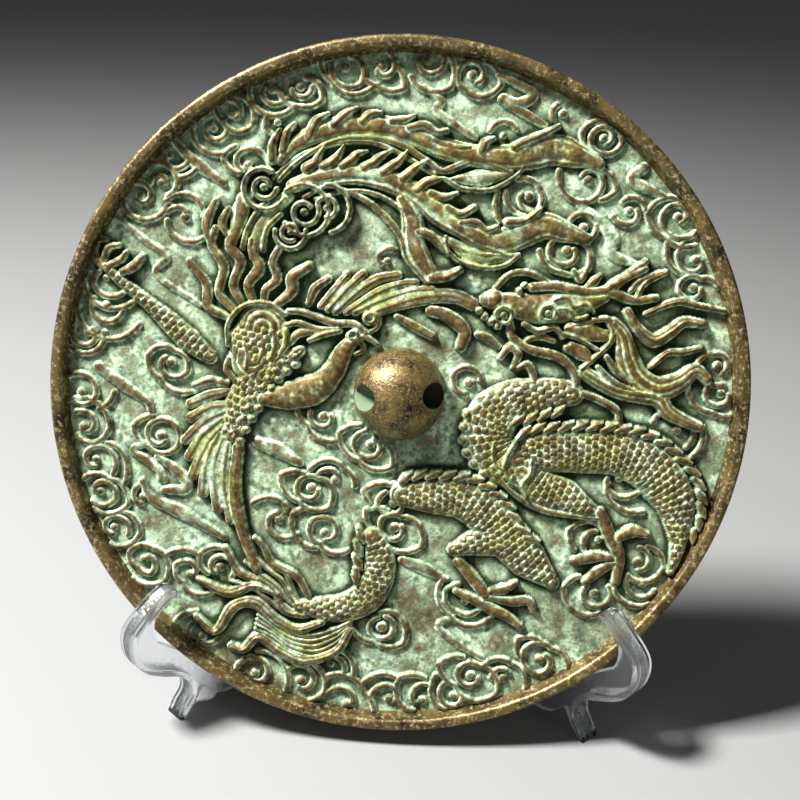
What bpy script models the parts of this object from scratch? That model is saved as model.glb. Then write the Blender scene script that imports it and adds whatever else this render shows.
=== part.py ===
"""Round bronze mirror with a phoenix and a dragon in relief, standing in a clear two-part cradle.

Metres, +Z up. The mirror leans back towards +Y and shows its relief towards -Y. The origin is on the
floor, at the middle of the bottom of the whole object's box.
"""
import math

import bmesh
import bpy
import numpy as np
from mathutils import Matrix, Vector

# Sizes of the mirror
MIRROR_DIAMETER = 0.127
MIRROR_THICKNESS = 0.0052
GROUND_THICKNESS = 0.0025
RIM_WIDTH = 0.0024
RIM_TOP_ROUND = 0.0008
BACK_EDGE_BEVEL = 0.0004
KNOB_RADIUS = 0.0085
KNOB_SINK = 0.0002
CORD_HOLE_RADIUS = 0.0023
CORD_HOLE_HEIGHT = 0.0045
CORD_HOLE_TURN = math.radians(1.9)

# Heights and widths of the relief above its ground
FIGURE_HEIGHT = 0.0018
FEATHER_HEIGHT = 0.0012
CLOUD_HEIGHT = 0.0007
CLOUD_LINE_WIDTH = 0.0013
CLOUD_EYE_RADIUS = 0.00085

# How the mirror stands
LEAN = math.radians(15.0)
RELIEF_TURN = math.radians(3.0)
FLOOR_GAP = 0.0023
FIT_GAP = 0.0003

# Sizes of the cradle
WEB_THICKNESS = 0.0022
FLANGE_WIDTH = 0.0044
FLANGE_THICKNESS = 0.0012
CRADLE_OPENING = math.radians(45.0)
SEAT_HEIGHT = 0.0165
SEAT_BACK = 0.0102
POST_HEIGHT = 0.0750
POST_DEPTH = 0.0090
POST_CORNER = 0.0030
REAR_FOOT_LENGTH = 0.0080
REAR_FOOT_RISE = 0.0050
SEAM_HEIGHT = 0.0340
SEAM_GAP = 0.0003
SEAM_FLANGE_DEPTH = 0.0060
SEAM_FLANGE_THICKNESS = 0.0020

# The cradle's front edge and foot are drawn in millimetres back from the bulge and up from the floor
CRADLE_UNIT = 0.001
FRONT_POINTS = [(10.2, 28.6), (8.4, 28.9), (6.2, 27.8), (4.0, 26.2), (1.8, 24.4), (0.3, 22.4), (0.0, 19.6),
                (0.8, 16.4), (2.8, 13.8), (6.0, 11.8), (9.6, 10.0), (12.0, 7.4), (12.2, 4.6), (10.6, 2.4),
                (9.4, 0.0)]
FOOT_POINTS = [(11.8, 0.0), (13.6, 1.6), (14.8, 3.6), (15.6, 4.4), (16.6, 3.6), (18.4, 1.8), (20.6, 0.9),
               (22.8, 0.8), (24.8, 1.6), (27.6, 4.4), (33.0, 6.4), (46.0, 7.0)]
# Inside of the hook, from the seat up to the tip; it arches clear of the mirror's face
HOOK_POINTS = [(6.0, 18.9), (5.4, 20.9), (5.4, 23.2), (6.6, 25.0), (8.2, 26.4)]

# Fineness of the turned mirror before and after its triangles are thinned out
CASE_STEPS = 120
KNOB_STEPS = 40
FIELD_STEPS = 720
RING_PITCH = 0.00050
GROUND_SINK = 0.0003
TRIANGLES_KEPT = 0.025

RIM_RADIUS = MIRROR_DIAMETER / 2
FIELD_RADIUS = RIM_RADIUS - RIM_WIDTH
RIM_HEIGHT = MIRROR_THICKNESS - GROUND_THICKNESS

# The relief is drawn on a field of 61.1 units; one unit is about a millimetre on the real mirror
DRAWN_FIELD = 61.1
UNIT = FIELD_RADIUS / DRAWN_FIELD

# Smooth raised bodies: points of the middle line, half widths along it, height as a share of the figures'
BODIES = [
    # phoenix: breast, neck and head, then the scaled back, the root of the wing and the leg
    ([(-25, -0.8), (-20, -0.2), (-15, 1.2), (-12, 4.2), (-10, 8), (-7.6, 10.6)],
     [1.4, 2.7, 3.0, 2.2, 1.8, 1.2], 1.0),
    ([(-28, 7), (-26.5, 10), (-25.5, 12)], [3.4, 5.0, 3.8], 0.85),
    ([(-18, 8), (-22, 5.3), (-26, 2), (-29, -2.5), (-30.5, -7.5)], [1.0, 2.6, 3.6, 3.4, 1.8], 0.85),
    ([(-53, 23.2), (-50, 20.3), (-46, 17), (-42, 13.4), (-38.5, 10), (-34.5, 6.8)],
     [0.9, 1.1, 1.3, 1.9, 2.3, 1.4], 0.8),
    # dragon: head, neck loop, body with its bend by the rim, middle body, thighs and tail
    ([(15.8, 17.2), (19, 16.6), (25, 15.6), (31, 16.2), (37, 17.6)], [1.4, 2.4, 3.2, 3.0, 1.0], 0.95),
    ([(31.4, 0.2), (26.4, 0), (21.2, -1.2), (17.2, -4.4), (16.4, -8.4), (18.4, -12.4), (22, -15)],
     [2.4, 3.0, 3.9, 4.9, 5.0, 4.6, 3.4], 0.85),
    ([(21.5, -11.6), (26, -10.6), (33.2, -10.4), (40.6, -11), (46.4, -13.8), (50.6, -19.4),
      (51.6, -24.8), (51.2, -29.8),
      (50.2, -33)], [3.0, 4.2, 4.2, 4.2, 4.6, 4.7, 3.6, 1.7, 0.8], 0.95),
    ([(22.5, -14.4), (26, -17.2), (30.4, -18.9), (35.4, -21.6)], [3.0, 3.7, 3.2, 1.5], 0.9),
    ([(0.5, -16.6), (6, -18.3), (12, -19.6), (16.5, -22.5), (20, -26.5), (24, -31), (28.5, -35.2)],
     [1.2, 3.0, 3.8, 4.4, 4.2, 3.6, 1.4], 0.95),
    ([(19, -27.5), (14.5, -27.6), (10.2, -29)], [2.8, 2.8, 1.4], 0.85),
    ([(-5, -26.5), (-3.8, -30), (-4, -34), (-6, -38), (-10, -40.2), (-14.5, -40.4), (-18.8, -39.8)],
     [1.8, 3.0, 3.2, 3.2, 2.8, 2.4, 1.2], 0.9),
    # broad parts of the tail plumes
    ([(-21, 42), (-18, 45), (-12, 47.4), (-5, 48), (1, 46.8), (7, 44.4), (13, 42.8), (20, 42.4),
      (27, 43.8), (32, 42.6),
      (35.6, 41.2)], [1.1, 1.7, 2.1, 2.1, 2.1, 2.0, 2.0, 2.3, 2.9, 2.7, 1.1], 0.8),
    ([(-19, 37.5), (-15, 38.8), (-10, 39.8), (-4, 39.4), (2, 37), (6, 34.2), (10, 31), (14, 28.6),
      (18, 27.6),
      (22, 29), (26, 30.4), (29.5, 29.4), (33.6, 28)],
      [1.3, 1.7, 1.8, 1.8, 1.8, 1.8, 1.8, 2.0, 2.2, 2.6, 2.6, 2.1, 1.1], 0.8),
    ([(0.5, 35.2), (2.4, 31.4), (2.6, 27.5), (4, 24), (6.4, 21.2)], [1.0, 2.0, 2.2, 2.1, 1.1], 0.8),
    ([(9.2, 38.6), (14.4, 38.8), (19.6, 39.5)], [0.4, 1.9, 0.5], 0.55),
    ([(8.6, 28), (13.5, 25.2), (20, 24.6)], [0.6, 2.1, 0.5], 0.5),
]

# Feathers, flames, whiskers, horns and claws: middle line, widths at start, middle and end, height share
FEATHERS = [
    # quills of the raised wing, from the main quill outwards
    ([(-4.5, 15), (0, 16.6), (5, 17.8), (10, 17.8), (13.3, 16.4)], [1.2, 1.9, 1.4], 1.1),
    ([(-8, 15), (-3, 17.2), (2, 18.7), (6, 19.1)], [0.9, 1.2, 0.9], 1.0),
    ([(-9.5, 15), (-4, 18.4), (0, 19.9), (3, 20.2)], [0.9, 1.2, 0.9], 1.0),
    ([(-11.5, 15), (-7.5, 18.6), (-4, 20.8), (-0.2, 21.6)], [0.9, 1.3, 1.0], 1.0),
    ([(-12.8, 15.5), (-9.5, 19), (-6.5, 21.8)], [0.9, 1.2, 1.0], 1.0),
    ([(-14.2, 16), (-11.5, 19), (-9.4, 21.6)], [0.8, 1.1, 0.9], 1.0),
    ([(-16.3, 16.5), (-15.2, 19.2), (-12.8, 20.9)], [0.8, 1.1, 0.9], 1.0),
    # feathers of the lowered wing, from the top one round to its main quill
    ([(-31.5, 0.5), (-35, -0.5), (-38.2, -1.8)], [1.0, 1.5, 1.2], 1.0),
    ([(-31, -2), (-34.5, -2.4), (-38.2, -4.4)], [1.0, 1.4, 1.2], 1.0),
    ([(-32, -3.2), (-35.5, -5), (-39.2, -8.5)], [1.0, 1.4, 1.2], 1.0),
    ([(-32.5, -4.5), (-36, -7.5), (-38.7, -11.6)], [1.0, 1.4, 1.2], 1.0),
    ([(-32.6, -6), (-35.5, -9.5), (-38, -15)], [1.0, 1.5, 1.3], 1.0),
    ([(-33, -7), (-35.2, -11.5), (-36.3, -18.3)], [1.0, 1.5, 1.3], 1.0),
    ([(-32.5, -8.2), (-34.2, -14), (-33.6, -21.3)], [1.0, 1.5, 1.3], 1.0),
    ([(-31.4, -9), (-32.3, -16), (-31.2, -23.5)], [1.0, 1.5, 1.2], 1.0),
    ([(-29.6, -9.8), (-30.3, -18), (-29.2, -25), (-26.5, -32.8)], [1.6, 2.1, 1.7], 1.3),
    # crest, nape feathers and beak of the phoenix
    ([(-20, 15.2), (-17, 14.8), (-12, 13), (-8.5, 12.8), (-6.2, 11.2)], [1.0, 1.2, 1.3], 1.3),
    ([(-20.5, 12.6), (-18.3, 13), (-15, 11.8), (-11, 12)], [1.0, 1.3, 1.0], 1.2),
    ([(-19.8, 9.4), (-18, 11.2), (-14, 11.4)], [1.2, 1.5, 1.2], 1.2),
    ([(-5.2, 11.4), (-3.9, 12.6), (-4.2, 14.3), (-5.8, 14.2)], [0.8, 1.2, 1.5], 1.3),
    ([(-9.5, 9.6), (-6.4, 10.6), (-3.9, 9.2)], [1.2, 1.3, 0.7], 1.3),
    # wavy tail feathers between the leg and the plumes
    ([(-24.5, 16.4), (-24.1, 19), (-22, 21), (-22.8, 24), (-21.4, 26.8)], [1.2, 1.5, 1.1], 1.2),
    ([(-22, 16.4), (-19.4, 18.8), (-19.2, 21.3), (-16.2, 23.3)], [1.4, 2.0, 1.5], 1.3),
    ([(-26.5, 17), (-27.2, 20), (-25.2, 23), (-26.6, 26), (-26.6, 28)], [1.3, 1.9, 0.9], 1.2),
    ([(-28.6, 16.8), (-30, 20), (-28.6, 24), (-30.4, 27), (-28.6, 31), (-27.8, 35)],
     [1.3, 1.7, 2.4], 1.2),
    ([(-30, 15.4), (-32.6, 18.5), (-31.6, 23), (-33.8, 27), (-33, 30)], [1.3, 1.6, 1.2], 1.1),
    ([(-31, 14), (-34.6, 16), (-34.8, 20), (-38, 24.2)], [1.2, 1.7, 1.0], 1.1),
    ([(-34, 27.6), (-34.6, 31), (-32.8, 35)], [1.2, 1.6, 1.0], 1.1),
    ([(-31, 29), (-31.8, 31), (-30.6, 33.4)], [1.0, 1.4, 1.0], 1.1),
    # claws on the phoenix's foot
    ([(-53.6, 23.4), (-55, 25.4), (-54.6, 27.8), (-52.8, 28)], [1.4, 1.4, 0.9], 1.2),
    ([(-53.4, 24.4), (-52.4, 26.6), (-50.5, 27)], [1.2, 1.2, 0.9], 1.2),
    ([(-52.4, 23.4), (-50.2, 24.4), (-49.3, 25.6)], [1.2, 1.3, 0.9], 1.2),
    ([(-50, 22.2), (-48, 23.2), (-46.4, 24.8)], [1.3, 1.6, 1.3], 1.3),
    # ribs of the three tail plumes
    ([(-21.5, 38.5), (-18, 41.8), (-12, 45.2), (-6, 46), (0, 44.8), (5, 41.8), (8, 40), (14, 41.7),
      (20, 39.8)],
     [0.8, 1.1, 0.9], 0.8),
    ([(-17, 35.5), (-13, 37.5), (-8, 38.2), (-3, 37.3), (2, 35), (6, 31.6), (10, 29.3), (14, 27.2),
      (20, 25)],
     [0.8, 1.1, 0.9], 0.8),
    ([(-10.5, 37), (-6, 35), (-2, 31.5), (0.5, 28), (1.5, 24.5), (5, 20.3)], [0.8, 1.1, 0.9], 0.8),
    # flames on the outer plume
    ([(-22.6, 42), (-22.4, 45), (-21.2, 47.2)], [1.2, 1.5, 1.2], 1.2),
    ([(-20.6, 43.6), (-20, 46.6), (-18.6, 48.3)], [1.2, 1.5, 1.2], 1.2),
    ([(-16, 46), (-14.6, 48.8), (-12.6, 50)], [1.4, 1.8, 1.2], 1.2),
    ([(-11.6, 48), (-9.6, 49.8), (-7.6, 50.9)], [1.2, 1.7, 1.2], 1.2),
    ([(-6.6, 48.6), (-5, 50), (-3.2, 50.2)], [1.2, 1.5, 1.2], 1.1),
    ([(-1.4, 48.8), (0.8, 48.9), (2.6, 49.6)], [1.0, 1.5, 1.1], 1.1),
    ([(1.8, 47.6), (4.4, 48), (6.6, 46.8), (8.4, 47)], [1.0, 1.5, 1.6], 1.2),
    ([(6, 45.4), (9.2, 44.2), (12.6, 44.2)], [1.0, 1.3, 0.8], 1.0),
    ([(14.6, 43.4), (15.4, 45), (16.8, 45.7)], [1.2, 1.7, 1.3], 1.2),
    ([(20.4, 44.2), (23, 45.4), (26, 46.6), (28.2, 47.8)], [1.1, 1.5, 1.4], 1.2),
    # flames on the middle and the inner plume
    ([(-12, 40.6), (-10.5, 42), (-9, 42.9)], [1.0, 1.4, 1.0], 1.1),
    ([(-9.4, 40.8), (-7.9, 41.6), (-7, 43)], [1.0, 1.4, 1.0], 1.1),
    ([(-5.6, 40.8), (-3, 42), (0.4, 42.7)], [1.2, 1.6, 1.2], 1.1),
    ([(1, 38.4), (4.4, 38), (6.6, 38.6)], [1.0, 1.6, 1.2], 1.1),
    ([(5.6, 36.2), (8, 35.4), (10.4, 36.2)], [1.0, 1.4, 1.0], 1.1),
    ([(8.6, 33.6), (11, 32.4), (13.4, 33.6)], [1.0, 1.5, 1.8], 1.2),
    ([(11, 31), (13.6, 31), (15.6, 29.6), (17.6, 30.2)], [1.0, 1.4, 1.4], 1.1),
    ([(19.4, 31), (22.4, 31.3), (25.2, 33.3)], [1.1, 1.4, 1.2], 1.1),
    ([(3.4, 29.4), (6, 28.4), (8.6, 25.4)], [1.0, 1.5, 1.2], 1.1),
    ([(6, 21.2), (8.6, 21.4), (11, 22.6)], [1.4, 1.7, 1.8], 1.2),
    # curls before the dragon's mouth
    ([(5.8, 15.2), (8.6, 14.4), (11.8, 11.6), (11.2, 8.8)], [1.8, 2.2, 1.8], 1.2),
    ([(-0.4, 14.2), (3, 12.2), (6, 10.6)], [1.0, 1.5, 1.3], 0.9),
    ([(14.2, 10.9), (16, 10.3), (18, 8.8)], [1.1, 1.4, 1.0], 0.9),
    # dragon's jaw, whiskers, nostril, cheek, horns and ears
    ([(20, 13.2), (20.6, 10.4), (24, 8.2), (29.4, 6.6), (32.2, 3), (31, -0.6)], [1.3, 1.5, 1.2], 1.2),
    ([(17.4, 19.4), (20, 21.8), (23.5, 22), (27, 20.2)], [0.9, 1.1, 0.9], 1.0),
    ([(17.3, 14), (18.6, 15), (19, 13.7)], [1.2, 1.6, 1.2], 1.3),
    ([(30.6, 11.2), (34, 11.2), (37.4, 11.4)], [1.6, 3.0, 1.0], 1.0),
    ([(30.6, 8.4), (33, 7.6), (34.6, 6)], [1.4, 2.4, 1.0], 1.0),
    ([(34, 18.4), (38, 18.6), (42, 17.2), (46.2, 17.5)], [1.6, 1.6, 1.3], 1.3),
    ([(38.2, 19), (41, 21.6), (44.2, 24)], [1.4, 1.4, 1.1], 1.3),
    ([(41.6, 18.8), (43.2, 20.6), (46.8, 21.9)], [1.0, 1.3, 1.1], 1.2),
    ([(33.8, 19.4), (35, 20.4), (36.2, 21.6)], [1.2, 1.7, 0.8], 1.2),
    # the dragon's mane
    ([(40.4, 14.8), (42.6, 12), (45, 10.7), (48, 12.4), (50.8, 13.8), (54.2, 12.4)],
     [1.2, 2.2, 1.4], 1.5),
    ([(38.8, 11.4), (41, 7.6), (43, 3.9), (46.6, 2), (50, 4), (53, 5), (56, 2.6)], [1.6, 2.2, 1.5], 1.5),
    ([(45.4, 5.4), (48, 7.6), (51, 8.6), (56, 8.6)], [1.0, 1.4, 1.0], 1.0),
    ([(42, 16.6), (45.6, 15.4), (48.6, 16.8), (52, 15.8), (58, 15.2)], [0.9, 1.3, 0.9], 0.9),
    ([(34.4, 4.2), (38, 1.6), (43, 0.6), (47, -0.4), (49.6, -3.6), (54, -5)], [1.8, 2.0, 1.4], 1.2),
    ([(33, -0.4), (37, -1.2), (39.8, -3.6), (40.4, -6), (42.8, -7.3)], [1.2, 1.5, 1.1], 1.1),
    # front leg and claws, rear leg and claws of the dragon
    ([(37, -22), (38.8, -26), (40.6, -30), (40.2, -35)], [2.0, 2.2, 1.6], 1.3),
    ([(40.4, -26.6), (43, -25.4), (45.8, -26)], [1.6, 2.2, 1.2], 1.3),
    ([(39.4, -30.4), (36.6, -30.2), (32.6, -31)], [1.2, 2.0, 1.6], 1.2),
    ([(40, -31.4), (37.4, -32.6), (34.6, -35)], [1.3, 2.0, 1.4], 1.2),
    ([(11, -31.2), (13.4, -34), (16, -37.6)], [1.8, 2.1, 2.0], 1.3),
    ([(16.8, -37), (19.6, -36.4), (21.6, -35.2)], [1.2, 1.9, 1.0], 1.2),
    ([(17, -38), (20.6, -38.8), (24, -38.8), (25, -40.4)], [1.2, 1.9, 1.2], 1.2),
    ([(10.6, -36.9), (15, -39), (19.6, -41.4), (22.6, -43.6)], [1.2, 2.2, 1.2], 1.2),
    # strands of the dragon's tail
    ([(-14.6, -43), (-19, -44.3), (-23, -42.6), (-27, -39.2), (-31, -40), (-34.4, -44.7), (-38, -42)],
     [1.4, 2.3, 1.2], 1.4),
    ([(-18, -41.6), (-21.6, -40.6), (-23.2, -37), (-25.4, -35), (-29.6, -33.6), (-32.4, -28.8)],
     [1.4, 1.6, 1.2], 1.2),
    ([(-22.6, -37.6), (-27, -35.9), (-32, -37.3), (-37.4, -34.8)], [1.2, 2.1, 1.1], 1.3),
    ([(-17, -38), (-19.2, -34.2), (-23.4, -31.9), (-25.2, -28.6), (-26.8, -27)], [1.1, 1.6, 1.0], 1.1),
    ([(-9.2, -44.4), (-12, -48.6), (-18, -50.4), (-22.6, -48.4), (-26.4, -45.8), (-29.2, -48.2),
      (-31.6, -47.6)],
     [1.4, 2.2, 1.4], 1.4),
    ([(-11.6, -44.4), (-15.6, -47.6), (-20.6, -47.2), (-24.4, -43.4)], [1.0, 1.3, 0.9], 0.9),
    # straight tails of the clouds
    ([(-40, 45.2), (-36.4, 41.6), (-31.4, 38)], [1.2, 2.0, 1.0], 0.6),
    ([(-50.6, 32), (-46, 28), (-42, 25), (-43.9, 21.8), (-36, 16.2)], [1.0, 1.1, 0.9], 0.5),
    ([(-55, 5), (-50.6, 1.6), (-46.4, -1.4), (-45.6, -3.2)], [1.6, 1.8, 1.0], 0.6),
    ([(-46.8, -9.2), (-49, -10.6), (-45, -13.6), (-43.8, -15.8)], [1.1, 1.5, 1.6], 0.6),
    ([(-44.6, -11.6), (-40, -15.4), (-39.6, -17.8), (-43.4, -17.9)], [1.2, 1.9, 1.3], 0.6),
    ([(-47.6, -16.2), (-46, -19.4), (-40, -22.4), (-32.6, -26.9)], [1.1, 2.2, 1.0], 0.7),
    ([(-26, -9), (-22, -10.6), (-18.4, -12.8)], [1.8, 2.4, 1.4], 0.6),
    ([(4.5, 54.6), (7.4, 52.4), (7, 50.2), (13.6, 45.8)], [1.1, 1.4, 1.0], 0.5),
    ([(17.6, 56.8), (23.6, 53.6), (21, 51.6), (18.6, 52.4), (26, 47.8)], [1.0, 1.9, 1.1], 0.7),
    ([(43.6, 40.6), (41.6, 38.6), (44.4, 36.8), (47.6, 35.4)], [1.6, 1.9, 0.9], 0.6),
    ([(32.4, 34), (38, 29), (38.2, 25.4), (43, 23.4)], [1.4, 2.2, 1.0], 0.5),
    ([(10, -42), (7.4, -43.8), (11, -47.2), (15.6, -50)], [1.1, 1.3, 1.0], 0.5),
    ([(0.6, -31), (4.4, -32.6), (8.8, -34.8)], [1.4, 2.0, 1.0], 0.6),
]

# Cloud curls: middle, outer radius, angle in degrees where the line leaves the eye, way it winds
CLOUDS = [
    (-33.0, 47.4, 2.6, 110, 1), (-40.2, 42.6, 2.2, 190, 1), (-43.0, 38.2, 3.0, 180, -1),
    (-45.6, 35.6, 2.5, 200, 1),
    (-39.4, 32.4, 2.2, 190, -1), (-52.6, 20.8, 2.6, 130, 1), (-53.2, 15.8, 2.9, 140, 1),
    (-57.0, 10.8, 2.6, 50, -1),
    (-58.2, 0.6, 2.8, 125, -1), (-41.7, 5.6, 3.4, 130, 1), (-57.4, -5.8, 2.6, -90, 1),
    (-56.0, -12.0, 2.8, -100, -1),
    (-55.0, -18.4, 2.6, 150, -1), (-53.2, -24.9, 2.8, -95, -1), (-43.8, -7.8, 3.4, -50, -1),
    (-47.4, -19.2, 2.2, 150, 1),
    (-47.4, -31.4, 3.2, 40, -1), (-39.6, -33.4, 2.3, 30, 1), (-33.6, -32.6, 2.8, -120, -1),
    (-37.0, -46.0, 2.2, -80, 1),
    (-29.4, 49.8, 2.9, -10, 1), (-22.6, 53.6, 3.2, 90, 1), (-17.3, 54.4, 2.4, 190, 1),
    (-9.3, 57.6, 2.8, 120, 1),
    (-2.4, 58.0, 2.5, 200, 1), (5.5, 58.2, 2.5, 90, 1), (13.4, 56.6, 3.4, -60, 1),
    (28.8, 50.4, 2.2, 60, 1),
    (36.4, 45.8, 3.0, -80, 1), (33.4, 38.2, 3.0, -80, -1), (41.2, 32.6, 2.2, 0, -1),
    (49.6, 32.0, 2.6, -50, -1),
    (33.2, 30.2, 2.1, -40, 1), (30.0, 25.8, 2.8, 10, -1), (52.8, 24.6, 2.5, 0, -1),
    (52.6, 19.2, 2.4, 10, -1),
    (57.4, 5.4, 2.2, -50, 1), (58.2, 0.0, 2.2, 0, -1), (51.4, -7.4, 2.6, 120, -1),
    (41.4, -16.0, 2.2, 180, 1),
    (35.4, -27.2, 2.4, 120, 1), (44.6, -31.0, 2.6, -90, 1), (45.2, -35.8, 2.4, 160, 1),
    (36.6, -37.6, 2.8, 110, 1),
    (26.2, -50.0, 2.8, 20, -1), (19.2, -53.4, 1.9, 30, 1), (13.6, -53.4, 3.2, -20, -1),
    (9.9, -57.2, 2.4, -10, -1),
    (4.0, -57.4, 2.4, 200, -1), (-2.2, -57.6, 2.0, -30, 1), (-10.8, -58.0, 2.0, 0, 1),
    (-12.4, -51.6, 2.4, 60, -1),
    (-18.2, -54.2, 2.5, -100, 1), (-27.0, -52.6, 2.6, -90, 1), (-3.4, -44.4, 2.6, 120, 1),
    (12.0, -38.8, 3.0, 150, 1),
    (-16.4, -17.8, 3.0, -20, -1), (-12.8, -15.6, 2.0, 80, 1), (-14.0, -25.6, 3.0, -90, 1),
    (-22.4, -24.2, 2.2, 90, 1),
    (-14.2, -4.4, 2.2, 10, -1), (-5.6, -9.5, 2.8, 60, -1), (-1.4, -20.4, 2.4, 10, -1),
    (-1.2, -24.9, 2.6, 10, -1),
    (-24.4, 36.8, 2.4, 60, 1), (-16.2, 32.2, 2.6, 150, 1), (-12.6, 33.0, 2.6, 130, -1),
    (-26.4, 41.4, 2.8, 200, -1),
    (-19.2, 29.0, 2.2, 150, 1), (-2.2, 24.2, 2.3, 130, -1), (23.4, 35.2, 2.8, 150, 1),
    (18.6, 47.2, 1.8, 180, -1),
    (12.4, 2.2, 2.4, 180, -1), (33.0, 37.8, 2.2, 100, -1),
]


def smooth_line(points, samples_per_span=6):
    """Catmull-Rom curve through the points, as an array of places along it."""
    p = np.array(points, dtype=float)
    ends = np.vstack([2 * p[0] - p[1], p, 2 * p[-1] - p[-2]])
    line = []
    for i in range(len(p) - 1):
        a, b, c, d = ends[i:i + 4]
        u = np.linspace(0, 1, samples_per_span, endpoint=False)[:, None]
        bend = (2 * a - 5 * b + 4 * c - d) * u**2 + (3 * b - a - 3 * c + d) * u**3
        line.append(0.5 * (2 * b + (c - a) * u + bend))
    return np.vstack(line + [p[-1:]])


def coil_line(x, y, start_radius, end_radius, start_angle, turn_angle, samples=22):
    """Spiral about (x, y) whose radius grows evenly with its angle, both angles in degrees."""
    u = np.linspace(0, 1, samples)
    angle = np.radians(start_angle + turn_angle * u)
    radius = start_radius + (end_radius - start_radius) * u
    return np.column_stack([x + radius * np.cos(angle), y + radius * np.sin(angle)])


def distance_along(ground, line):
    """Distance of each ground point to the line, and how far along it that place lies, from 0 to 1."""
    start, step = line[:-1], np.diff(line, axis=0)
    length = np.linalg.norm(step, axis=1)
    before = np.concatenate([[0.0], np.cumsum(length)])
    offset = ground[:, None, :] - start[None, :, :]
    share = np.clip((offset * step).sum(2) / (length**2), 0, 1)
    gap = np.linalg.norm(offset - share[:, :, None] * step, axis=2)
    nearest = gap.argmin(1)
    row = np.arange(len(ground))
    return gap[row, nearest], (before[nearest] + share[row, nearest] * length[nearest]) / before[-1]


def raise_line(height, ground, line, half_widths, top):
    """Raises the ground under a line: a half-round section, its half width following half_widths."""
    reach = max(half_widths)
    low, high = line.min(0) - reach, line.max(0) + reach
    inside = np.flatnonzero(((ground > low) & (ground < high)).all(1))
    gap, along = distance_along(ground[inside], line)
    half = np.interp(along, np.linspace(0, 1, len(half_widths)), half_widths)
    section = np.sqrt(np.clip(1 - (gap / half)**2, 0, 1))
    height[inside] = np.maximum(height[inside], top * section)


def relief_height(ground):
    """Height of the relief, in drawn units, over each point of the ground."""
    height = np.zeros(len(ground))
    for x, y, outer, angle, way in CLOUDS:
        line = coil_line(x, y, 1.3, outer, angle, way * 400)
        raise_line(height, ground, line, [CLOUD_LINE_WIDTH / UNIT / 2], CLOUD_HEIGHT / UNIT)
        eye = np.array([(x - 0.05, y), (x + 0.05, y)])
        raise_line(height, ground, eye, [CLOUD_EYE_RADIUS / UNIT], 1.2 * CLOUD_HEIGHT / UNIT)
    for points, widths, share in FEATHERS:
        half = [w / 2 for w in widths]
        raise_line(height, ground, smooth_line(points), half, share * FEATHER_HEIGHT / UNIT)
    for points, half, share in BODIES:
        raise_line(height, ground, smooth_line(points), half, share * FIGURE_HEIGHT / UNIT)
    return height


def clear_scene():
    """Removes every object, so that the script always starts from nothing."""
    for thing in list(bpy.data.objects):
        bpy.data.objects.remove(thing, do_unlink=True)


def make_collection(name):
    """A new collection linked to the scene."""
    group = bpy.data.collections.new(name)
    bpy.context.scene.collection.children.link(group)
    return group


def make_material(name, colour, roughness, metallic, alpha=1.0):
    """A Principled material with the part's own colour, roughness and metallic value."""
    material = bpy.data.materials.new(name)
    material.use_nodes = True
    shader = material.node_tree.nodes["Principled BSDF"]
    shader.inputs["Base Color"].default_value = (*colour, 1.0)
    shader.inputs["Roughness"].default_value = roughness
    shader.inputs["Metallic"].default_value = metallic
    shader.inputs["Alpha"].default_value = alpha
    return material


def applied_mesh(thing, name):
    """The object's mesh with its modifiers applied."""
    bpy.context.view_layer.update()
    graph = bpy.context.evaluated_depsgraph_get()
    mesh = bpy.data.meshes.new_from_object(thing.evaluated_get(graph))
    mesh.name = name
    return mesh


def cut(thing, cutter, operation="DIFFERENCE"):
    """Puts an exact boolean with the cutter on the object."""
    modifier = thing.modifiers.new(operation.lower(), "BOOLEAN")
    modifier.operation = operation
    modifier.solver = "EXACT"
    modifier.object = cutter


def as_cutter(thing, name, cutters):
    """Names an object that only shapes others and keeps it apart in the cutters' collection."""
    thing.name = name
    for group in list(thing.users_collection):
        group.objects.unlink(thing)
    cutters.objects.link(thing)
    thing.hide_render = True
    thing.display_type = "WIRE"


def arc(x, z, radius, start, end, samples):
    """Points of an arc about (x, z), both angles in degrees."""
    angles = np.radians(np.linspace(start, end, samples))
    return [(x + radius * math.cos(a), z + radius * math.sin(a)) for a in angles]


def case_profile():
    """Half section of the plain casting: sunk ground, rounded rim and bevelled back."""
    top = RIM_HEIGHT - RIM_TOP_ROUND
    rim = arc(FIELD_RADIUS + RIM_TOP_ROUND, top, RIM_TOP_ROUND, 180, 90, 4)
    rim += arc(RIM_RADIUS - RIM_TOP_ROUND, top, RIM_TOP_ROUND, 90, 0, 4)
    back = -GROUND_THICKNESS
    edge = [(RIM_RADIUS, back + BACK_EDGE_BEVEL), (RIM_RADIUS - BACK_EDGE_BEVEL, back), (0.0, back)]
    return [(0.0, -GROUND_SINK), (FIELD_RADIUS, -GROUND_SINK)] + rim + edge


def knob_profile():
    """Half section of the domed knob, its foot sunk into the ground."""
    dome = arc(0, -KNOB_SINK, KNOB_RADIUS, 90, 0, 12)
    dome[0] = (0.0, KNOB_RADIUS - KNOB_SINK)
    return dome + [(KNOB_RADIUS, -2 * GROUND_SINK), (0.0, -2 * GROUND_SINK)]


def field_profile():
    """Half section of the fine round plate that takes the relief; its edge lies inside the rim."""
    reach = FIELD_RADIUS + RIM_WIDTH / 4
    ground = [(r, 0.0) for r in np.linspace(0, reach, int(reach / RING_PITCH))]
    return ground + [(reach, -2 * GROUND_SINK), (0.0, -2 * GROUND_SINK)]


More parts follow.
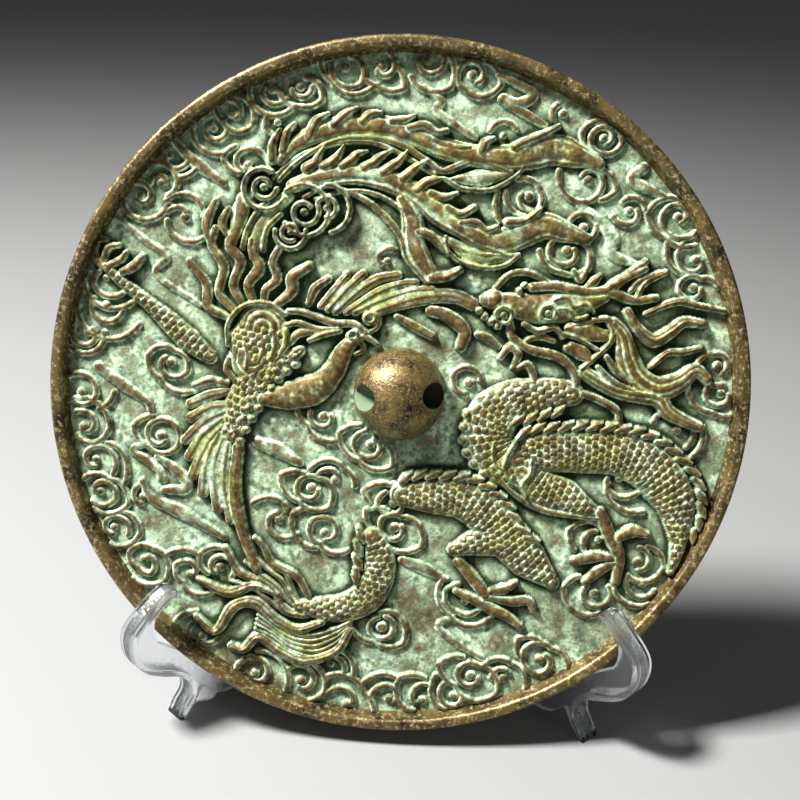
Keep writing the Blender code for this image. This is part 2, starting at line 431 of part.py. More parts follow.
def turned(name, profile, steps, group):
    """A closed body made by turning a half section once round the Z axis."""
    mesh = bpy.data.meshes.new(name)
    mesh.from_pydata([(r, 0, z) for r, z in profile], [(i, i + 1) for i in range(len(profile) - 1)], [])
    thing = bpy.data.objects.new(name, mesh)
    group.objects.link(thing)
    screw = thing.modifiers.new("turn", "SCREW")
    screw.steps = screw.render_steps = steps
    screw.use_merge_vertices = True
    screw.merge_threshold = 0.00001
    body = applied_mesh(thing, name)
    thing.modifiers.clear()
    thing.data = body
    return thing


def standing_matrix(lift):
    """Carries the flat mirror, relief up, to its leaning pose, its middle lift above the floor."""
    return Matrix.Translation((0, 0, lift)) @ Matrix.Rotation(math.radians(90) - LEAN, 4, "X") @ \
        Matrix.Rotation(RELIEF_TURN, 4, "Z")


def disc_lift():
    """Height of the disc's middle that leaves the floor gap under its lowest edge."""
    return FLOOR_GAP + RIM_RADIUS * math.cos(LEAN) + GROUND_THICKNESS * math.sin(LEAN)


def make_mirror(parts, cutters):
    """The bronze casting: case, raised field and knob in one, with the cord hole cut through the knob."""
    mirror = turned("mirror", case_profile(), CASE_STEPS, parts)
    field = turned("field", field_profile(), FIELD_STEPS, parts)
    place = np.empty(len(field.data.vertices) * 3)
    field.data.vertices.foreach_get("co", place)
    place = place.reshape(-1, 3)
    radius = np.hypot(place[:, 0], place[:, 1])
    raised = (np.abs(place[:, 2]) < 1e-7) & (radius > KNOB_RADIUS - RING_PITCH) & (radius < FIELD_RADIUS)
    place[raised, 2] = relief_height(place[raised, :2] / UNIT) * UNIT
    field.data.vertices.foreach_set("co", place.ravel())
    field.data.update()
    thin = field.modifiers.new("thin out", "DECIMATE")
    thin.ratio = TRIANGLES_KEPT
    knob = turned("knob", knob_profile(), KNOB_STEPS, parts)
    for helper in (field, knob):
        as_cutter(helper, helper.name, cutters)
        cut(mirror, helper, "UNION")
    bpy.ops.mesh.primitive_cylinder_add(vertices=24, radius=CORD_HOLE_RADIUS, depth=2.4 * KNOB_RADIUS)
    hole = bpy.context.object
    hole.matrix_world = Matrix.Translation((0, 0, CORD_HOLE_HEIGHT)) @ \
        Matrix.Rotation(CORD_HOLE_TURN, 4, "Z") @ Matrix.Rotation(math.radians(90), 4, "Y")
    as_cutter(hole, "cord_hole", cutters)
    cut(mirror, hole)
    finished = applied_mesh(mirror, "mirror")
    mirror.modifiers.clear()
    mirror.data = finished
    mirror.matrix_world = standing_matrix(disc_lift())
    mirror.data.materials.clear()
    mirror.data.materials.append(make_material("bronze", (0.42, 0.36, 0.22), 0.55, 0.7))
    return mirror


def seat_point():
    """Where the disc's lowest stretch would meet the web: sideways, backwards and up from the floor."""
    down = (SEAT_HEIGHT - disc_lift()) / math.cos(LEAN)
    return Vector((math.sqrt(RIM_RADIUS**2 - down**2), down * math.sin(LEAN), SEAT_HEIGHT))


def bulge_point():
    """The web's foremost point, in front of and outside the seat."""
    seat = seat_point()
    out = SEAT_BACK * math.cos(CRADLE_OPENING)
    forward = SEAT_BACK * math.sin(CRADLE_OPENING)
    return Vector((seat.x + out, seat.y - forward, 0.0))


def web_place(back_shift, height):
    """How far back along the web the disc's middle plane, moved back by back_shift, has that height."""
    up = (height - disc_lift()) / math.cos(LEAN)
    return (up * math.sin(LEAN) + back_shift - bulge_point().y) / math.sin(CRADLE_OPENING)


def inner_offset(line, depth):
    """The line moved to its left by depth, square to its own run."""
    run = np.gradient(line, axis=0)
    run /= np.linalg.norm(run, axis=1)[:, None]
    return line + depth * np.column_stack([-run[:, 1], run[:, 0]])


def plate(name, outline, thickness, group):
    """An upright plate: the closed outline in its own X and Z, thickened evenly about Y = 0."""
    mesh = bpy.data.meshes.new(name)
    shape = bmesh.new()
    corners = [shape.verts.new((x, -thickness / 2, z)) for x, z in outline]
    shape.faces.new(corners)
    grown = bmesh.ops.extrude_face_region(shape, geom=shape.faces[:])
    moved = [v for v in grown["geom"] if isinstance(v, bmesh.types.BMVert)]
    bmesh.ops.translate(shape, verts=moved, vec=(0, thickness, 0))
    bmesh.ops.recalc_face_normals(shape, faces=shape.faces[:])
    shape.to_mesh(mesh)
    shape.free()
    thing = bpy.data.objects.new(name, mesh)
    group.objects.link(thing)
    return thing


def front_contour():
    """The smooth front edge from the hook's tip over the bulge down to the toe, in metres."""
    return smooth_line(FRONT_POINTS, 4) * CRADLE_UNIT


def web_outline(seam):
    """The whole web: front edge, foot, scallop, rear foot, seam edge, post, and the disc's slot."""
    post = web_place(0, POST_HEIGHT)
    front = [tuple(p) for p in front_contour()]
    foot = [(x * CRADLE_UNIT, z * CRADLE_UNIT) for x, z in FOOT_POINTS]
    hook = [(x * CRADLE_UNIT, z * CRADLE_UNIT) for x, z in HOOK_POINTS]
    pad = seam - REAR_FOOT_LENGTH
    rear_foot = [(pad - REAR_FOOT_RISE, REAR_FOOT_RISE), (pad, 0.0), (seam, 0.0)]
    back = [(seam, SEAM_HEIGHT), (post + POST_DEPTH, POST_HEIGHT - POST_CORNER),
            (post + POST_DEPTH - POST_CORNER, POST_HEIGHT), (post, POST_HEIGHT)]
    slot = [(web_place(0, hook[0][1]), hook[0][1])]
    return front + foot + rear_foot + back + slot + hook


def make_half(name, side, disc_cutter, parts, cutters):
    """One clear moulding: frosted web, flange along its front edge, and flat flange at the rear seam."""
    bulge = bulge_point()
    tab_middle = SEAM_GAP / 2 + SEAM_FLANGE_THICKNESS / 2
    seam = (bulge.x - tab_middle) / math.cos(CRADLE_OPENING)
    half = plate(name, web_outline(seam), WEB_THICKNESS, parts)
    edge = front_contour()
    inner = inner_offset(edge, FLANGE_THICKNESS)
    inner[:, 1] = np.maximum(inner[:, 1], 0.0)
    band = np.vstack([edge, inner[::-1]])
    flange = plate("flange", [tuple(p) for p in band], FLANGE_WIDTH, cutters)
    run = math.pi - CRADLE_OPENING if side > 0 else CRADLE_OPENING
    pose = Matrix.Translation((side * bulge.x, bulge.y, 0)) @ Matrix.Rotation(run, 4, "Z")
    half.matrix_world = pose
    flange.matrix_world = pose
    tab_y = bulge.y + seam * math.sin(CRADLE_OPENING)
    bpy.ops.mesh.primitive_cube_add(size=1)
    tab = bpy.context.object
    tab.matrix_world = Matrix.Translation((side * tab_middle, tab_y, SEAM_HEIGHT / 2)) @ \
        Matrix.Diagonal((SEAM_FLANGE_THICKNESS, SEAM_FLANGE_DEPTH, SEAM_HEIGHT, 1))
    for helper, use in ((flange, "_flange"), (tab, "_seam")):
        as_cutter(helper, name + use, cutters)
        cut(half, helper, "UNION")
    cut(half, disc_cutter)
    finished = applied_mesh(half, name)
    half.modifiers.clear()
    half.data = finished
    half.data.materials.clear()
    half.data.materials.append(make_material(name + "_clear", (0.86, 0.88, 0.9), 0.12, 0.0, 0.3))
    return half


def make_disc_cutter(cutters):
    """A plain disc a fit gap larger all round than the mirror, in the mirror's pose."""
    depth = MIRROR_THICKNESS + 2 * FIT_GAP
    bpy.ops.mesh.primitive_cylinder_add(vertices=160, radius=RIM_RADIUS + FIT_GAP, depth=depth)
    disc = bpy.context.object
    middle = (RIM_HEIGHT - GROUND_THICKNESS) / 2
    disc.matrix_world = standing_matrix(disc_lift()) @ Matrix.Translation((0, 0, middle))
    as_cutter(disc, "disc_space", cutters)
    return disc


def centre_on_floor(things):
    """Moves the whole object so that its box stands on the floor with its middle over the origin."""
    bpy.context.view_layer.update()
    corners = [thing.matrix_world @ v.co for thing in things for v in thing.data.vertices]
    x, y, z = ([c[i] for c in corners] for i in range(3))
    shift = Matrix.Translation((-(min(x) + max(x)) / 2, -(min(y) + max(y)) / 2, -min(z)))
    for thing in things:
        thing.matrix_world = shift @ thing.matrix_world


clear_scene()
parts = make_collection("bronze_mirror_on_stand")
cutters = make_collection("cutters")
disc_space = make_disc_cutter(cutters)
mirror = make_mirror(parts, cutters)
left = make_half("stand_left", -1, disc_space, parts, cutters)
right = make_half("stand_right", 1, disc_space, parts, cutters)
centre_on_floor([mirror, left, right])
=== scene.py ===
"""Looks of the round bronze mirror with its phoenix and dragon, standing in the clear two-part cradle."""

import math

import bpy
import numpy as np
from mathutils import Matrix, Vector


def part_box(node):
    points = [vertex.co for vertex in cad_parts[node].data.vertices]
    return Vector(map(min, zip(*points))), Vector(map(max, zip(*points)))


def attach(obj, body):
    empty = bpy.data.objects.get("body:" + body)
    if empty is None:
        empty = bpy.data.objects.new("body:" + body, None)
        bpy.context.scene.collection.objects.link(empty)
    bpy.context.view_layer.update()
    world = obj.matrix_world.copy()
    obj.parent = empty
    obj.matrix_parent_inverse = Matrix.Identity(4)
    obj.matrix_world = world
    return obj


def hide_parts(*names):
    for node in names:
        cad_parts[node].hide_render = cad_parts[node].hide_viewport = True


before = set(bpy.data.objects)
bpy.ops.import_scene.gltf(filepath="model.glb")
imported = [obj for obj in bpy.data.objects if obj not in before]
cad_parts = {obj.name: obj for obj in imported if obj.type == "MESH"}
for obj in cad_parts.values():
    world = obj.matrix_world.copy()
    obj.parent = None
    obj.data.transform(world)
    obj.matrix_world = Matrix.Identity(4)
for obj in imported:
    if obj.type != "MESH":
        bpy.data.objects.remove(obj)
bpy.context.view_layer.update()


# The casting without its relief: one disc of bronze, 127 mm across, with a rounded raised rim and a plain
# back, turned about its axis. It leans back 15 degrees in the cradle with its pattern turned 3 degrees.
MILLIMETRE = 0.001
DISC_RADIUS = 63.5
RIM_WIDTH = 2.4
FIELD_RADIUS = DISC_RADIUS - RIM_WIDTH
RIM_HEIGHT = 2.7
GROUND_THICKNESS = 2.5
RIM_ROUND = 0.8
BACK_BEVEL = 0.4
GROUND_SINK = 0.5
LEAN = math.radians(15.0)
PATTERN_TURN = math.radians(3.0)
FLOOR_GAP = 2.3
RIM_COLOUR = (0.15, 0.102, 0.034)
RIM_DARK = (0.014, 0.010, 0.003)
RIM_WORN = (0.60, 0.50, 0.26)


def standing_pose():
    """Turn of the pattern, then the lean, then the lift that leaves the gap under the disc, in metres."""
    lift = FLOOR_GAP + DISC_RADIUS * math.cos(LEAN) + GROUND_THICKNESS * math.sin(LEAN)
    back_reach = (DISC_RADIUS - BACK_BEVEL) * math.sin(LEAN) + GROUND_THICKNESS * math.cos(LEAN)
    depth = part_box("mirror")[1][1] - back_reach * MILLIMETRE
    return Matrix.Translation((0, depth, lift * MILLIMETRE)) @ \
        Matrix.Rotation(math.radians(90) - LEAN, 4, "X") @ Matrix.Rotation(PATTERN_TURN, 4, "Z")


POSE = standing_pose()


def standing(places):
    """Places in millimetres on the flat disc, relief up, carried to metres in the leaning pose."""
    turn = np.array(POSE.to_3x3())
    return places @ turn.T * MILLIMETRE + np.array(POSE.translation)


def grid_faces(rows, columns, wrap_rows=False, wrap_columns=False):
    """Squares between neighbouring points of a grid, numbered row by row, closed round where asked."""
    number = np.arange(rows * columns).reshape(rows, columns)
    if wrap_rows:
        number = np.vstack([number, number[:1]])
    if wrap_columns:
        number = np.hstack([number, number[:, :1]])
    corners = [number[:-1, :-1], number[:-1, 1:], number[1:, 1:], number[1:, :-1]]
    return np.stack(corners, axis=-1).reshape(-1, 4)


def in_scene(name, data):
    """An object of that data at the origin, put into the scene."""
    thing = bpy.data.objects.new(name, data)
    bpy.context.scene.collection.objects.link(thing)
    return thing


def smooth_piece(name, places, faces, material):
    """A smooth-shaded mesh object from an array of places and a list of faces."""
    mesh = bpy.data.meshes.new(name)
    mesh.from_pydata(places.tolist(), [], [list(map(int, f)) for f in faces])
    mesh.update()
    mesh.shade_smooth()
    mesh.materials.append(material)
    return in_scene(name, mesh)


def arc(x, z, radius, start, end, samples):
    """Places on an arc about (x, z), both angles in degrees: x + r cos a, z + r sin a."""
    angles = np.radians(np.linspace(start, end, samples))
    return np.column_stack([x + radius * np.cos(angles), z + radius * np.sin(angles)])


def turned(profile, turns):
    """Half section turned round Z: places are (r cos a, r sin a, z), and each end on the axis is one."""
    angles = np.linspace(0, 2 * np.pi, turns, endpoint=False)[:, None]
    radius, z = profile[1:-1].T
    row = len(radius)
    ring = np.stack([radius * np.cos(angles), radius * np.sin(angles), np.broadcast_to(z, (turns, row))],
                    axis=-1)
    places = np.vstack([ring.reshape(-1, 3), [[0, 0, profile[0, 1]], [0, 0, profile[-1, 1]]]])
    faces = grid_faces(turns, row, wrap_rows=True).tolist()
    first, last = len(places) - 2, len(places) - 1
    for turn in range(turns):
        after = (turn + 1) % turns
        faces.append([first, turn * row, after * row])
        faces.append([last, after * row + row - 1, turn * row + row - 1])
    return places, faces


def new_material(name):
    """A material with its node tree and its main shader."""
    material = bpy.data.materials.new(name)
    material.use_nodes = True
    return material, material.node_tree, material.node_tree.nodes["Principled BSDF"]


def set_inputs(node, **values):
    """Sets a node's inputs by their names, with _ for a space."""
    for name, value in values.items():
        node.inputs[name.replace("_", " ")].default_value = value
    return node


def add_node(tree, kind, **values):
    """A new shader node of that kind, with its inputs set."""
    return set_inputs(tree.nodes.new("ShaderNode" + kind), **values)


def join(tree, *wires):
    """Links nodes: each wire is a node, its output, the next node, and its input."""
    for source, output, target, entry in wires:
        tree.links.new(source.outputs[output], target.inputs[entry])


def aged_bronze(name, colour, dark, worn, roughness, patch_size):
    """Brown bronze: large soft patches from dark to the main colour, fine worn specks, shallow pitting."""
    material, tree, shader = new_material(name)
    set_inputs(shader, Metallic=0.6, Roughness=roughness)
    frequency = 1 / (patch_size * MILLIMETRE)
    place = add_node(tree, "TexCoord")
    patches = add_node(tree, "TexNoise", Scale=frequency, Detail=6, Roughness=0.65)
    specks = add_node(tree, "TexNoise", Scale=6 * frequency, Detail=5, Roughness=0.7)
    ramp = add_node(tree, "ValToRGB")
    ramp.color_ramp.elements[0].position = 0.34
    ramp.color_ramp.elements[0].color = (*dark, 1)
    ramp.color_ramp.elements[1].position = 0.58
    ramp.color_ramp.elements[1].color = (*colour, 1)
    shine = add_node(tree, "ValToRGB")
    shine.color_ramp.elements[0].position = 0.52
    shine.color_ramp.elements[1].position = 0.72
    mix = add_node(tree, "Mix")
    mix.data_type = "RGBA"
    set_inputs(mix, B=(*worn, 1))
    bump = add_node(tree, "Bump", Strength=0.35, Distance=0.25 * MILLIMETRE)
    join(tree,
         (place, "Object", patches, "Vector"),
         (place, "Object", specks, "Vector"),
         (patches, "Fac", ramp, "Fac"),
         (specks, "Fac", shine, "Fac"),
         (ramp, "Color", mix, "A"),
         (shine, "Color", mix, "Factor"),
         (mix, "Result", shader, "Base Color"),
         (specks, "Fac", bump, "Height"),
         (bump, "Normal", shader, "Normal"))
    return material


case_profile = np.vstack([
    [(0.0, -GROUND_SINK), (FIELD_RADIUS - 0.6, -GROUND_SINK), (FIELD_RADIUS - 0.5, 0.0),
     (FIELD_RADIUS + 0.1, 0.9)],
    arc(FIELD_RADIUS + 1.0, RIM_HEIGHT - RIM_ROUND, RIM_ROUND, 175, 90, 7),
    arc(DISC_RADIUS - RIM_ROUND, RIM_HEIGHT - RIM_ROUND, RIM_ROUND, 90, 0, 8),
    [(DISC_RADIUS, 0.0), (DISC_RADIUS, BACK_BEVEL - GROUND_THICKNESS),
     (DISC_RADIUS - BACK_BEVEL, -GROUND_THICKNESS), (DISC_RADIUS - 3.0, -GROUND_THICKNESS),
     (0.0, -GROUND_THICKNESS)]])
case_places, case_faces = turned(case_profile, turns=360)
rim_bronze = aged_bronze("golden brown rim bronze", RIM_COLOUR, RIM_DARK, RIM_WORN, roughness=0.42,
                         patch_size=5.0)
case = smooth_piece("rim_and_back", standing(case_places), case_faces, rim_bronze)
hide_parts("mirror")
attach(case, "root")


# The knob: a cast dome in the middle, 17 mm across, pierced from side to side for a cord. The hole runs
# almost level across the pattern. Inside it is pale green at its left mouth and dark at its right.
KNOB_RADIUS = 8.5
KNOB_SINK = 0.2
HOLE_RADIUS = 2.3
HOLE_HEIGHT = 4.5
HOLE_TURN = math.radians(1.9)
MOUTH_ROUND = 0.35
WALL_MARGIN = 0.06
KNOB_COLOUR = (0.17, 0.115, 0.038)
KNOB_DARK = (0.012, 0.009, 0.003)
KNOB_WORN = (0.46, 0.36, 0.17)
HOLE_GREEN = (0.12, 0.17, 0.09)
HOLE_DARK = (0.012, 0.012, 0.006)


def pierced_dome(turns, samples):
    """Closed surface round the hole, for angles a about its axis and x along it: the dome by a ball's
    equation, a rounded lip, the hole's wall, and the other lip. Below the ground it is cut flat."""
    a = np.linspace(0, 2 * np.pi, turns, endpoint=False)[:, None]
    drop = HOLE_HEIGHT + KNOB_SINK
    foot = HOLE_RADIUS + MOUTH_ROUND
    mouth = np.sqrt(KNOB_RADIUS**2 - (foot * np.cos(a))**2 - (drop + foot * np.sin(a))**2)
    u = np.linspace(-np.pi / 2, np.pi / 2, samples)[None, :]
    x = mouth * np.sin(u)
    r = -drop * np.sin(a) + np.sqrt(KNOB_RADIUS**2 - x**2 - (drop * np.cos(a))**2)
    lip = np.radians(np.linspace(60, 0, 4))[None, :]
    lip_x = mouth - MOUTH_ROUND + MOUTH_ROUND * np.sin(lip)
    lip_r = np.broadcast_to(foot - MOUTH_ROUND * np.cos(lip), (turns, lip.size))
    wall = np.linspace(1, -1, 8)[None, :] * (mouth - MOUTH_ROUND)
    wall_r = np.full_like(wall, HOLE_RADIUS)
    x = np.hstack([x, lip_x, wall, -lip_x[:, ::-1]])
    r = np.hstack([r, lip_r, wall_r, lip_r[:, ::-1]])
    z = np.maximum(HOLE_HEIGHT + r * np.sin(a), -GROUND_SINK)
    places = np.stack([x, r * np.cos(a), z], axis=-1)
    return places.reshape(-1, 3), grid_faces(turns, x.shape[1], True, True)[:, ::-1]


def hole_colour(name, colour):
    """A dull, rough colour for the wall of the hole."""
    material, _, shader = new_material(name)
    set_inputs(shader, Base_Color=(*colour, 1), Roughness=0.9)
    return material


knob_places, knob_faces = pierced_dome(turns=96, samples=48)
turn = np.array(Matrix.Rotation(HOLE_TURN, 3, "Z"))
knob_bronze = aged_bronze("golden brown knob bronze", KNOB_COLOUR, KNOB_DARK, KNOB_WORN, roughness=0.40,
                          patch_size=3.0)
knob = smooth_piece("pierced_knob", standing(knob_places @ turn.T), knob_faces, knob_bronze)
knob.data.materials.append(hole_colour("pale green left half of the hole", HOLE_GREEN))
knob.data.materials.append(hole_colour("near-black right half of the hole", HOLE_DARK))
middles = knob_places[knob_faces].mean(axis=1)
in_hole = np.hypot(middles[:, 1], middles[:, 2] - HOLE_HEIGHT) < HOLE_RADIUS + WALL_MARGIN
knob.data.polygons.foreach_set("material_index", np.where(in_hole, np.where(middles[:, 0] < 0, 1, 2), 0))
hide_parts("mirror")
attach(knob, "root")


# The field of the casting, kept as one grid of heights in millimetres over the disc, with x to the right
# and y up the pattern. Every figure below is raised on it in turn, and it becomes four tiles at the end.
GRID_PITCH = 0.18
GRID_REACH = 343
RIM_FADE = 0.4
FIELD_OVERLAP = 0.2
FIGURE_HEIGHT = 1.8
FEATHER_HEIGHT = 1.2
CLOUD_HEIGHT = 0.75
# Half widths in the tables are those of the drawn lines; a cast line stands narrower by this factor
LINE_WIDTH = 0.62
SCALE_LENGTH = 1.25
SCALE_WIDTH = 1.45
SPINE_ROOT = 1.4
SPINE_TIP = 1.5
SPINE_HALF_WIDTHS = [0.7, 1.0, 0.35]

ruler = np.arange(-GRID_REACH, GRID_REACH + 1) * GRID_PITCH
height = np.zeros((len(ruler), len(ruler)))


def smooth_line(points, samples_per_span=8):
    """Catmull-Rom curve through the points, as an array of places along it."""
    p = np.array(points, dtype=float)
    ends = np.vstack([2 * p[0] - p[1], p, 2 * p[-1] - p[-2]])
    u = np.linspace(0, 1, samples_per_span, endpoint=False)[None, :, None]
    a, b, c, d = (ends[i:len(ends) - 3 + i, None] for i in range(4))
    line = 0.5 * (2 * b + (c - a) * u + (2 * a - 5 * b + 4 * c - d) * u**2 + (3 * b - a - 3 * c + d) * u**3)
    return np.vstack([line.reshape(-1, 2), p[-1:]])


def coil(x, y, start_radius, end_radius, start_angle, turn_angle):
    """Spiral about (x, y) whose radius grows evenly with its angle, both angles in degrees."""
    u = np.linspace(0, 1, 8 + int(abs(turn_angle) / 14))
    angle = np.radians(start_angle + turn_angle * u)
    radius = start_radius + (end_radius - start_radius) * u
    return np.column_stack([x + radius * np.cos(angle), y + radius * np.sin(angle)])


def window(line, reach):
    """The part of the grid within reach of a line's box: its two slices, and x and y there."""
    low = np.clip(np.floor((line.min(0) - reach) / GRID_PITCH).astype(int) + GRID_REACH, 0, len(ruler) - 1)
    high = np.clip(np.ceil((line.max(0) + reach) / GRID_PITCH).astype(int) + GRID_REACH + 1, 1, len(ruler))
    rows, columns = slice(low[1], high[1]), slice(low[0], high[0])
    return rows, columns, ruler[columns][None, :], ruler[rows][:, None]


def along_and_across(line, x, y):
    """How far along the line each place's nearest point lies, how far off the place is, positive on the
    left, and the length of the whole line."""
    best = np.full(np.broadcast(x, y).shape, np.inf)
    along = np.zeros_like(best)
    across = np.zeros_like(best)
    start_length = 0.0
    for start, end in zip(line[:-1], line[1:]):
        step = end - start
        length = math.hypot(*step)
        dx, dy = x - start[0], y - start[1]
        share = np.clip((dx * step[0] + dy * step[1]) / length**2, 0, 1)
        gap = np.hypot(dx - share * step[0], dy - share * step[1])
        nearer = gap < best
        best = np.where(nearer, gap, best)
        along = np.where(nearer, start_length + share * length, along)
        across = np.where(nearer, np.copysign(gap, step[0] * dy - step[1] * dx), across)
        start_length += length
    return along, across, start_length


def raise_stroke(line, half_widths, top, power=0.55, finish=None):
    """Raises a ridge: top (1 - t^2)^power, with t from 0 on the middle line to 1 at the ridge's edge.
    finish, if given, adds a surface from the distance along, the distance across, t and the half width."""
    rows, columns, x, y = window(line, max(half_widths))
    along, across, length = along_and_across(line, x, y)
    half = np.interp(along / length, np.linspace(0, 1, len(half_widths)), half_widths)
    t = np.clip(np.abs(across) / half, 0, 1)
    body = top * (1 - t**2)**power
    if finish:
        body = body + np.where(t < 1, finish(along, across, t, half) * np.minimum(1, 3 * (1 - t)), 0)
    height[rows, columns] = np.maximum(height[rows, columns], body)


def raise_strokes(table, width_factor, tallest, power=0.55, finish=None):
    """Raises each row of a table: points, half widths before the factor, and share of the full height."""
    for points, widths, share in table:
        raise_stroke(smooth_line(points), np.multiply(width_factor, widths), share * tallest, power, finish)


def raise_boss(x, y, radius, top):
    """A small dome: top (1 - d^2 / radius^2)^0.5."""
    line = np.array([(x - 0.02, y), (x + 0.02, y)])
    raise_stroke(line, [radius], top, 0.5)


def raise_ring(x, y, radius, half_width, top):
    """A round ridge about (x, y)."""
    raise_stroke(coil(x, y, radius, radius, 0, 360), [half_width], top, 0.45)


def lengths_along(line):
    """How far along a line each of its places lies."""
    return np.concatenate([[0], np.cumsum(np.hypot(*np.diff(line, axis=0).T))])


def place_at(line, lengths, far):
    """The place that lies so far along a line."""
    return np.array([np.interp(far, lengths, line[:, 0]), np.interp(far, lengths, line[:, 1])])


def raise_row(points, pitch, radius, top):
    """A row of small domes along a smooth line, evenly spaced."""
    line = smooth_line(points)
    lengths = lengths_along(line)
    for far in np.linspace(0, lengths[-1], max(2, int(round(lengths[-1] / pitch)) + 1)):
        raise_boss(*place_at(line, lengths, far), radius, top)


def raise_spines(points, pitch, top):
    """A short pointed stroke every pitch along a line, each turned half a radian outwards from it."""
    line = smooth_line(points)
    lengths = lengths_along(line)
    for far in np.arange(0.3, lengths[-1], pitch):
        middle = place_at(line, lengths, far)
        ahead = place_at(line, lengths, far + 0.8) - middle
        angle = np.arctan2(ahead[1], ahead[0]) + 0.5
        way = np.array([np.cos(angle), np.sin(angle)])
        spine = smooth_line([middle - SPINE_ROOT * way, middle, middle + SPINE_TIP * way])
        raise_stroke(spine, SPINE_HALF_WIDTHS, top, 0.45)


def ribbon(along, across, t, half):
    """A flat feather: lowered between a fine quill in the middle and its two raised edges."""
    return 0.10 * np.exp(-(t / 0.16)**2) + 0.16 * np.exp(-((t - 0.78) / 0.14)**2) - 0.12


def scales(along, across, t, half):
    """Overlapping scales: rows of rounded domes, every second row shifted by half a scale."""
    row = np.floor(along / SCALE_LENGTH)
    u = along / SCALE_LENGTH - row
    v = across / SCALE_WIDTH + 0.5 * (row % 2)
    v = v - np.floor(v) - 0.5
    dome = 1 - ((u - 0.3) / 0.75)**2 - (v / 0.52)**2
    return 0.42 * np.sqrt(np.clip(dome, 0, 1)) - 0.22


def strands(along, across, t, half):
    """Hair: three round strands side by side along the whole stroke."""
    return 0.22 * np.abs(np.cos(1.5 * np.pi * np.clip(across / half, -1, 1))) - 0.14


# The tail plumes of the phoenix, cast in the field: long flat feathers with a groove either side of the
# middle, fine ribs beside them, and small flames along their edges.
# Each row: points of the middle line, half widths evenly spaced along it, and share of the height
PLUMES = [
    ([(-21, 42), (-18, 45), (-12, 47.4), (-5, 48), (1, 46.8), (7, 44.4), (13, 42.8), (20, 42.4),
     (27, 43.8), (32, 42.6), (35.6, 41.2)], [1.1, 1.7, 2.1, 2.1, 2.1, 2.0, 2.0, 2.3, 2.9, 2.7, 1.1], 0.8),
    ([(-19, 37.5), (-15, 38.8), (-10, 39.8), (-4, 39.4), (2, 37), (6, 34.2), (10, 31), (14, 28.6),
     (18, 27.6), (22, 29), (26, 30.4), (29.5, 29.4), (33.6, 28)],
     [1.3, 1.7, 1.8, 1.8, 1.8, 1.8, 1.8, 2.0, 2.2, 2.6, 2.6, 2.1, 1.1], 0.8),
    ([(0.5, 35.2), (2.4, 31.4), (2.6, 27.5), (4, 24), (6.4, 21.2)], [1.0, 2.0, 2.2, 2.1, 1.1], 0.8),
    ([(9.2, 38.6), (14.4, 38.8), (19.6, 39.5)], [0.4, 1.9, 0.5], 0.55),
    ([(8.6, 28), (13.5, 25.2), (20, 24.6)], [0.6, 2.1, 0.5], 0.5),
    ([(-26.2, 25), (-25.6, 29), (-23, 33), (-20, 35.6)], [1.0, 1.6, 1.6, 1.2], 0.65),
    ([(-29.4, 29), (-28.4, 33.4), (-26, 36.4)], [1.2, 1.6, 1.4], 0.55),
]
PLUME_RIBS = [
    ([(-21.5, 38.5), (-18, 41.8), (-12, 45.2), (-6, 46), (0, 44.8), (5, 41.8), (8, 40), (14, 41.7),
     (20, 39.8)], [0.8, 1.1, 0.9], 0.8),
    ([(-17, 35.5), (-13, 37.5), (-8, 38.2), (-3, 37.3), (2, 35), (6, 31.6), (10, 29.3), (14, 27.2),
     (20, 25)], [0.8, 1.1, 0.9], 0.8),
    ([(-10.5, 37), (-6, 35), (-2, 31.5), (0.5, 28), (1.5, 24.5), (5, 20.3)], [0.8, 1.1, 0.9], 0.8),
    ([(-22.5, 38.9), (-17.8, 42.8), (-12.6, 44.6), (-8, 45.3), (-3.5, 44.8), (1.1, 42.6), (6.4, 39.4)],
     [0.7, 0.9], 0.7),
    ([(-15, 35.2), (-9, 36.6), (-3.6, 35.8), (1.4, 32.6), (5, 29.4), (9.4, 27), (14, 25.4),
     (21.4, 25.2)], [0.7, 0.9], 0.7),
    ([(7.9, 40.1), (11.7, 41.7), (15, 42), (19, 40.7), (21.8, 40.3), (19, 38), (15.8, 36.7),
     (11.2, 37), (8.4, 38.6)], [0.7, 0.8], 0.8),
    ([(8.4, 28.4), (8.8, 26), (11.5, 23.8), (15.6, 22.9), (19, 23.4), (21.4, 25.2)], [0.7, 0.8], 0.8),
    ([(-28.2, 26.5), (-27.3, 29.7), (-25.2, 33.2), (-23.6, 34.6)], [0.9, 1.0], 1.0),
    ([(-24.5, 26), (-23.8, 29.7), (-21.3, 32.5)], [0.9, 1.0], 1.0),
]
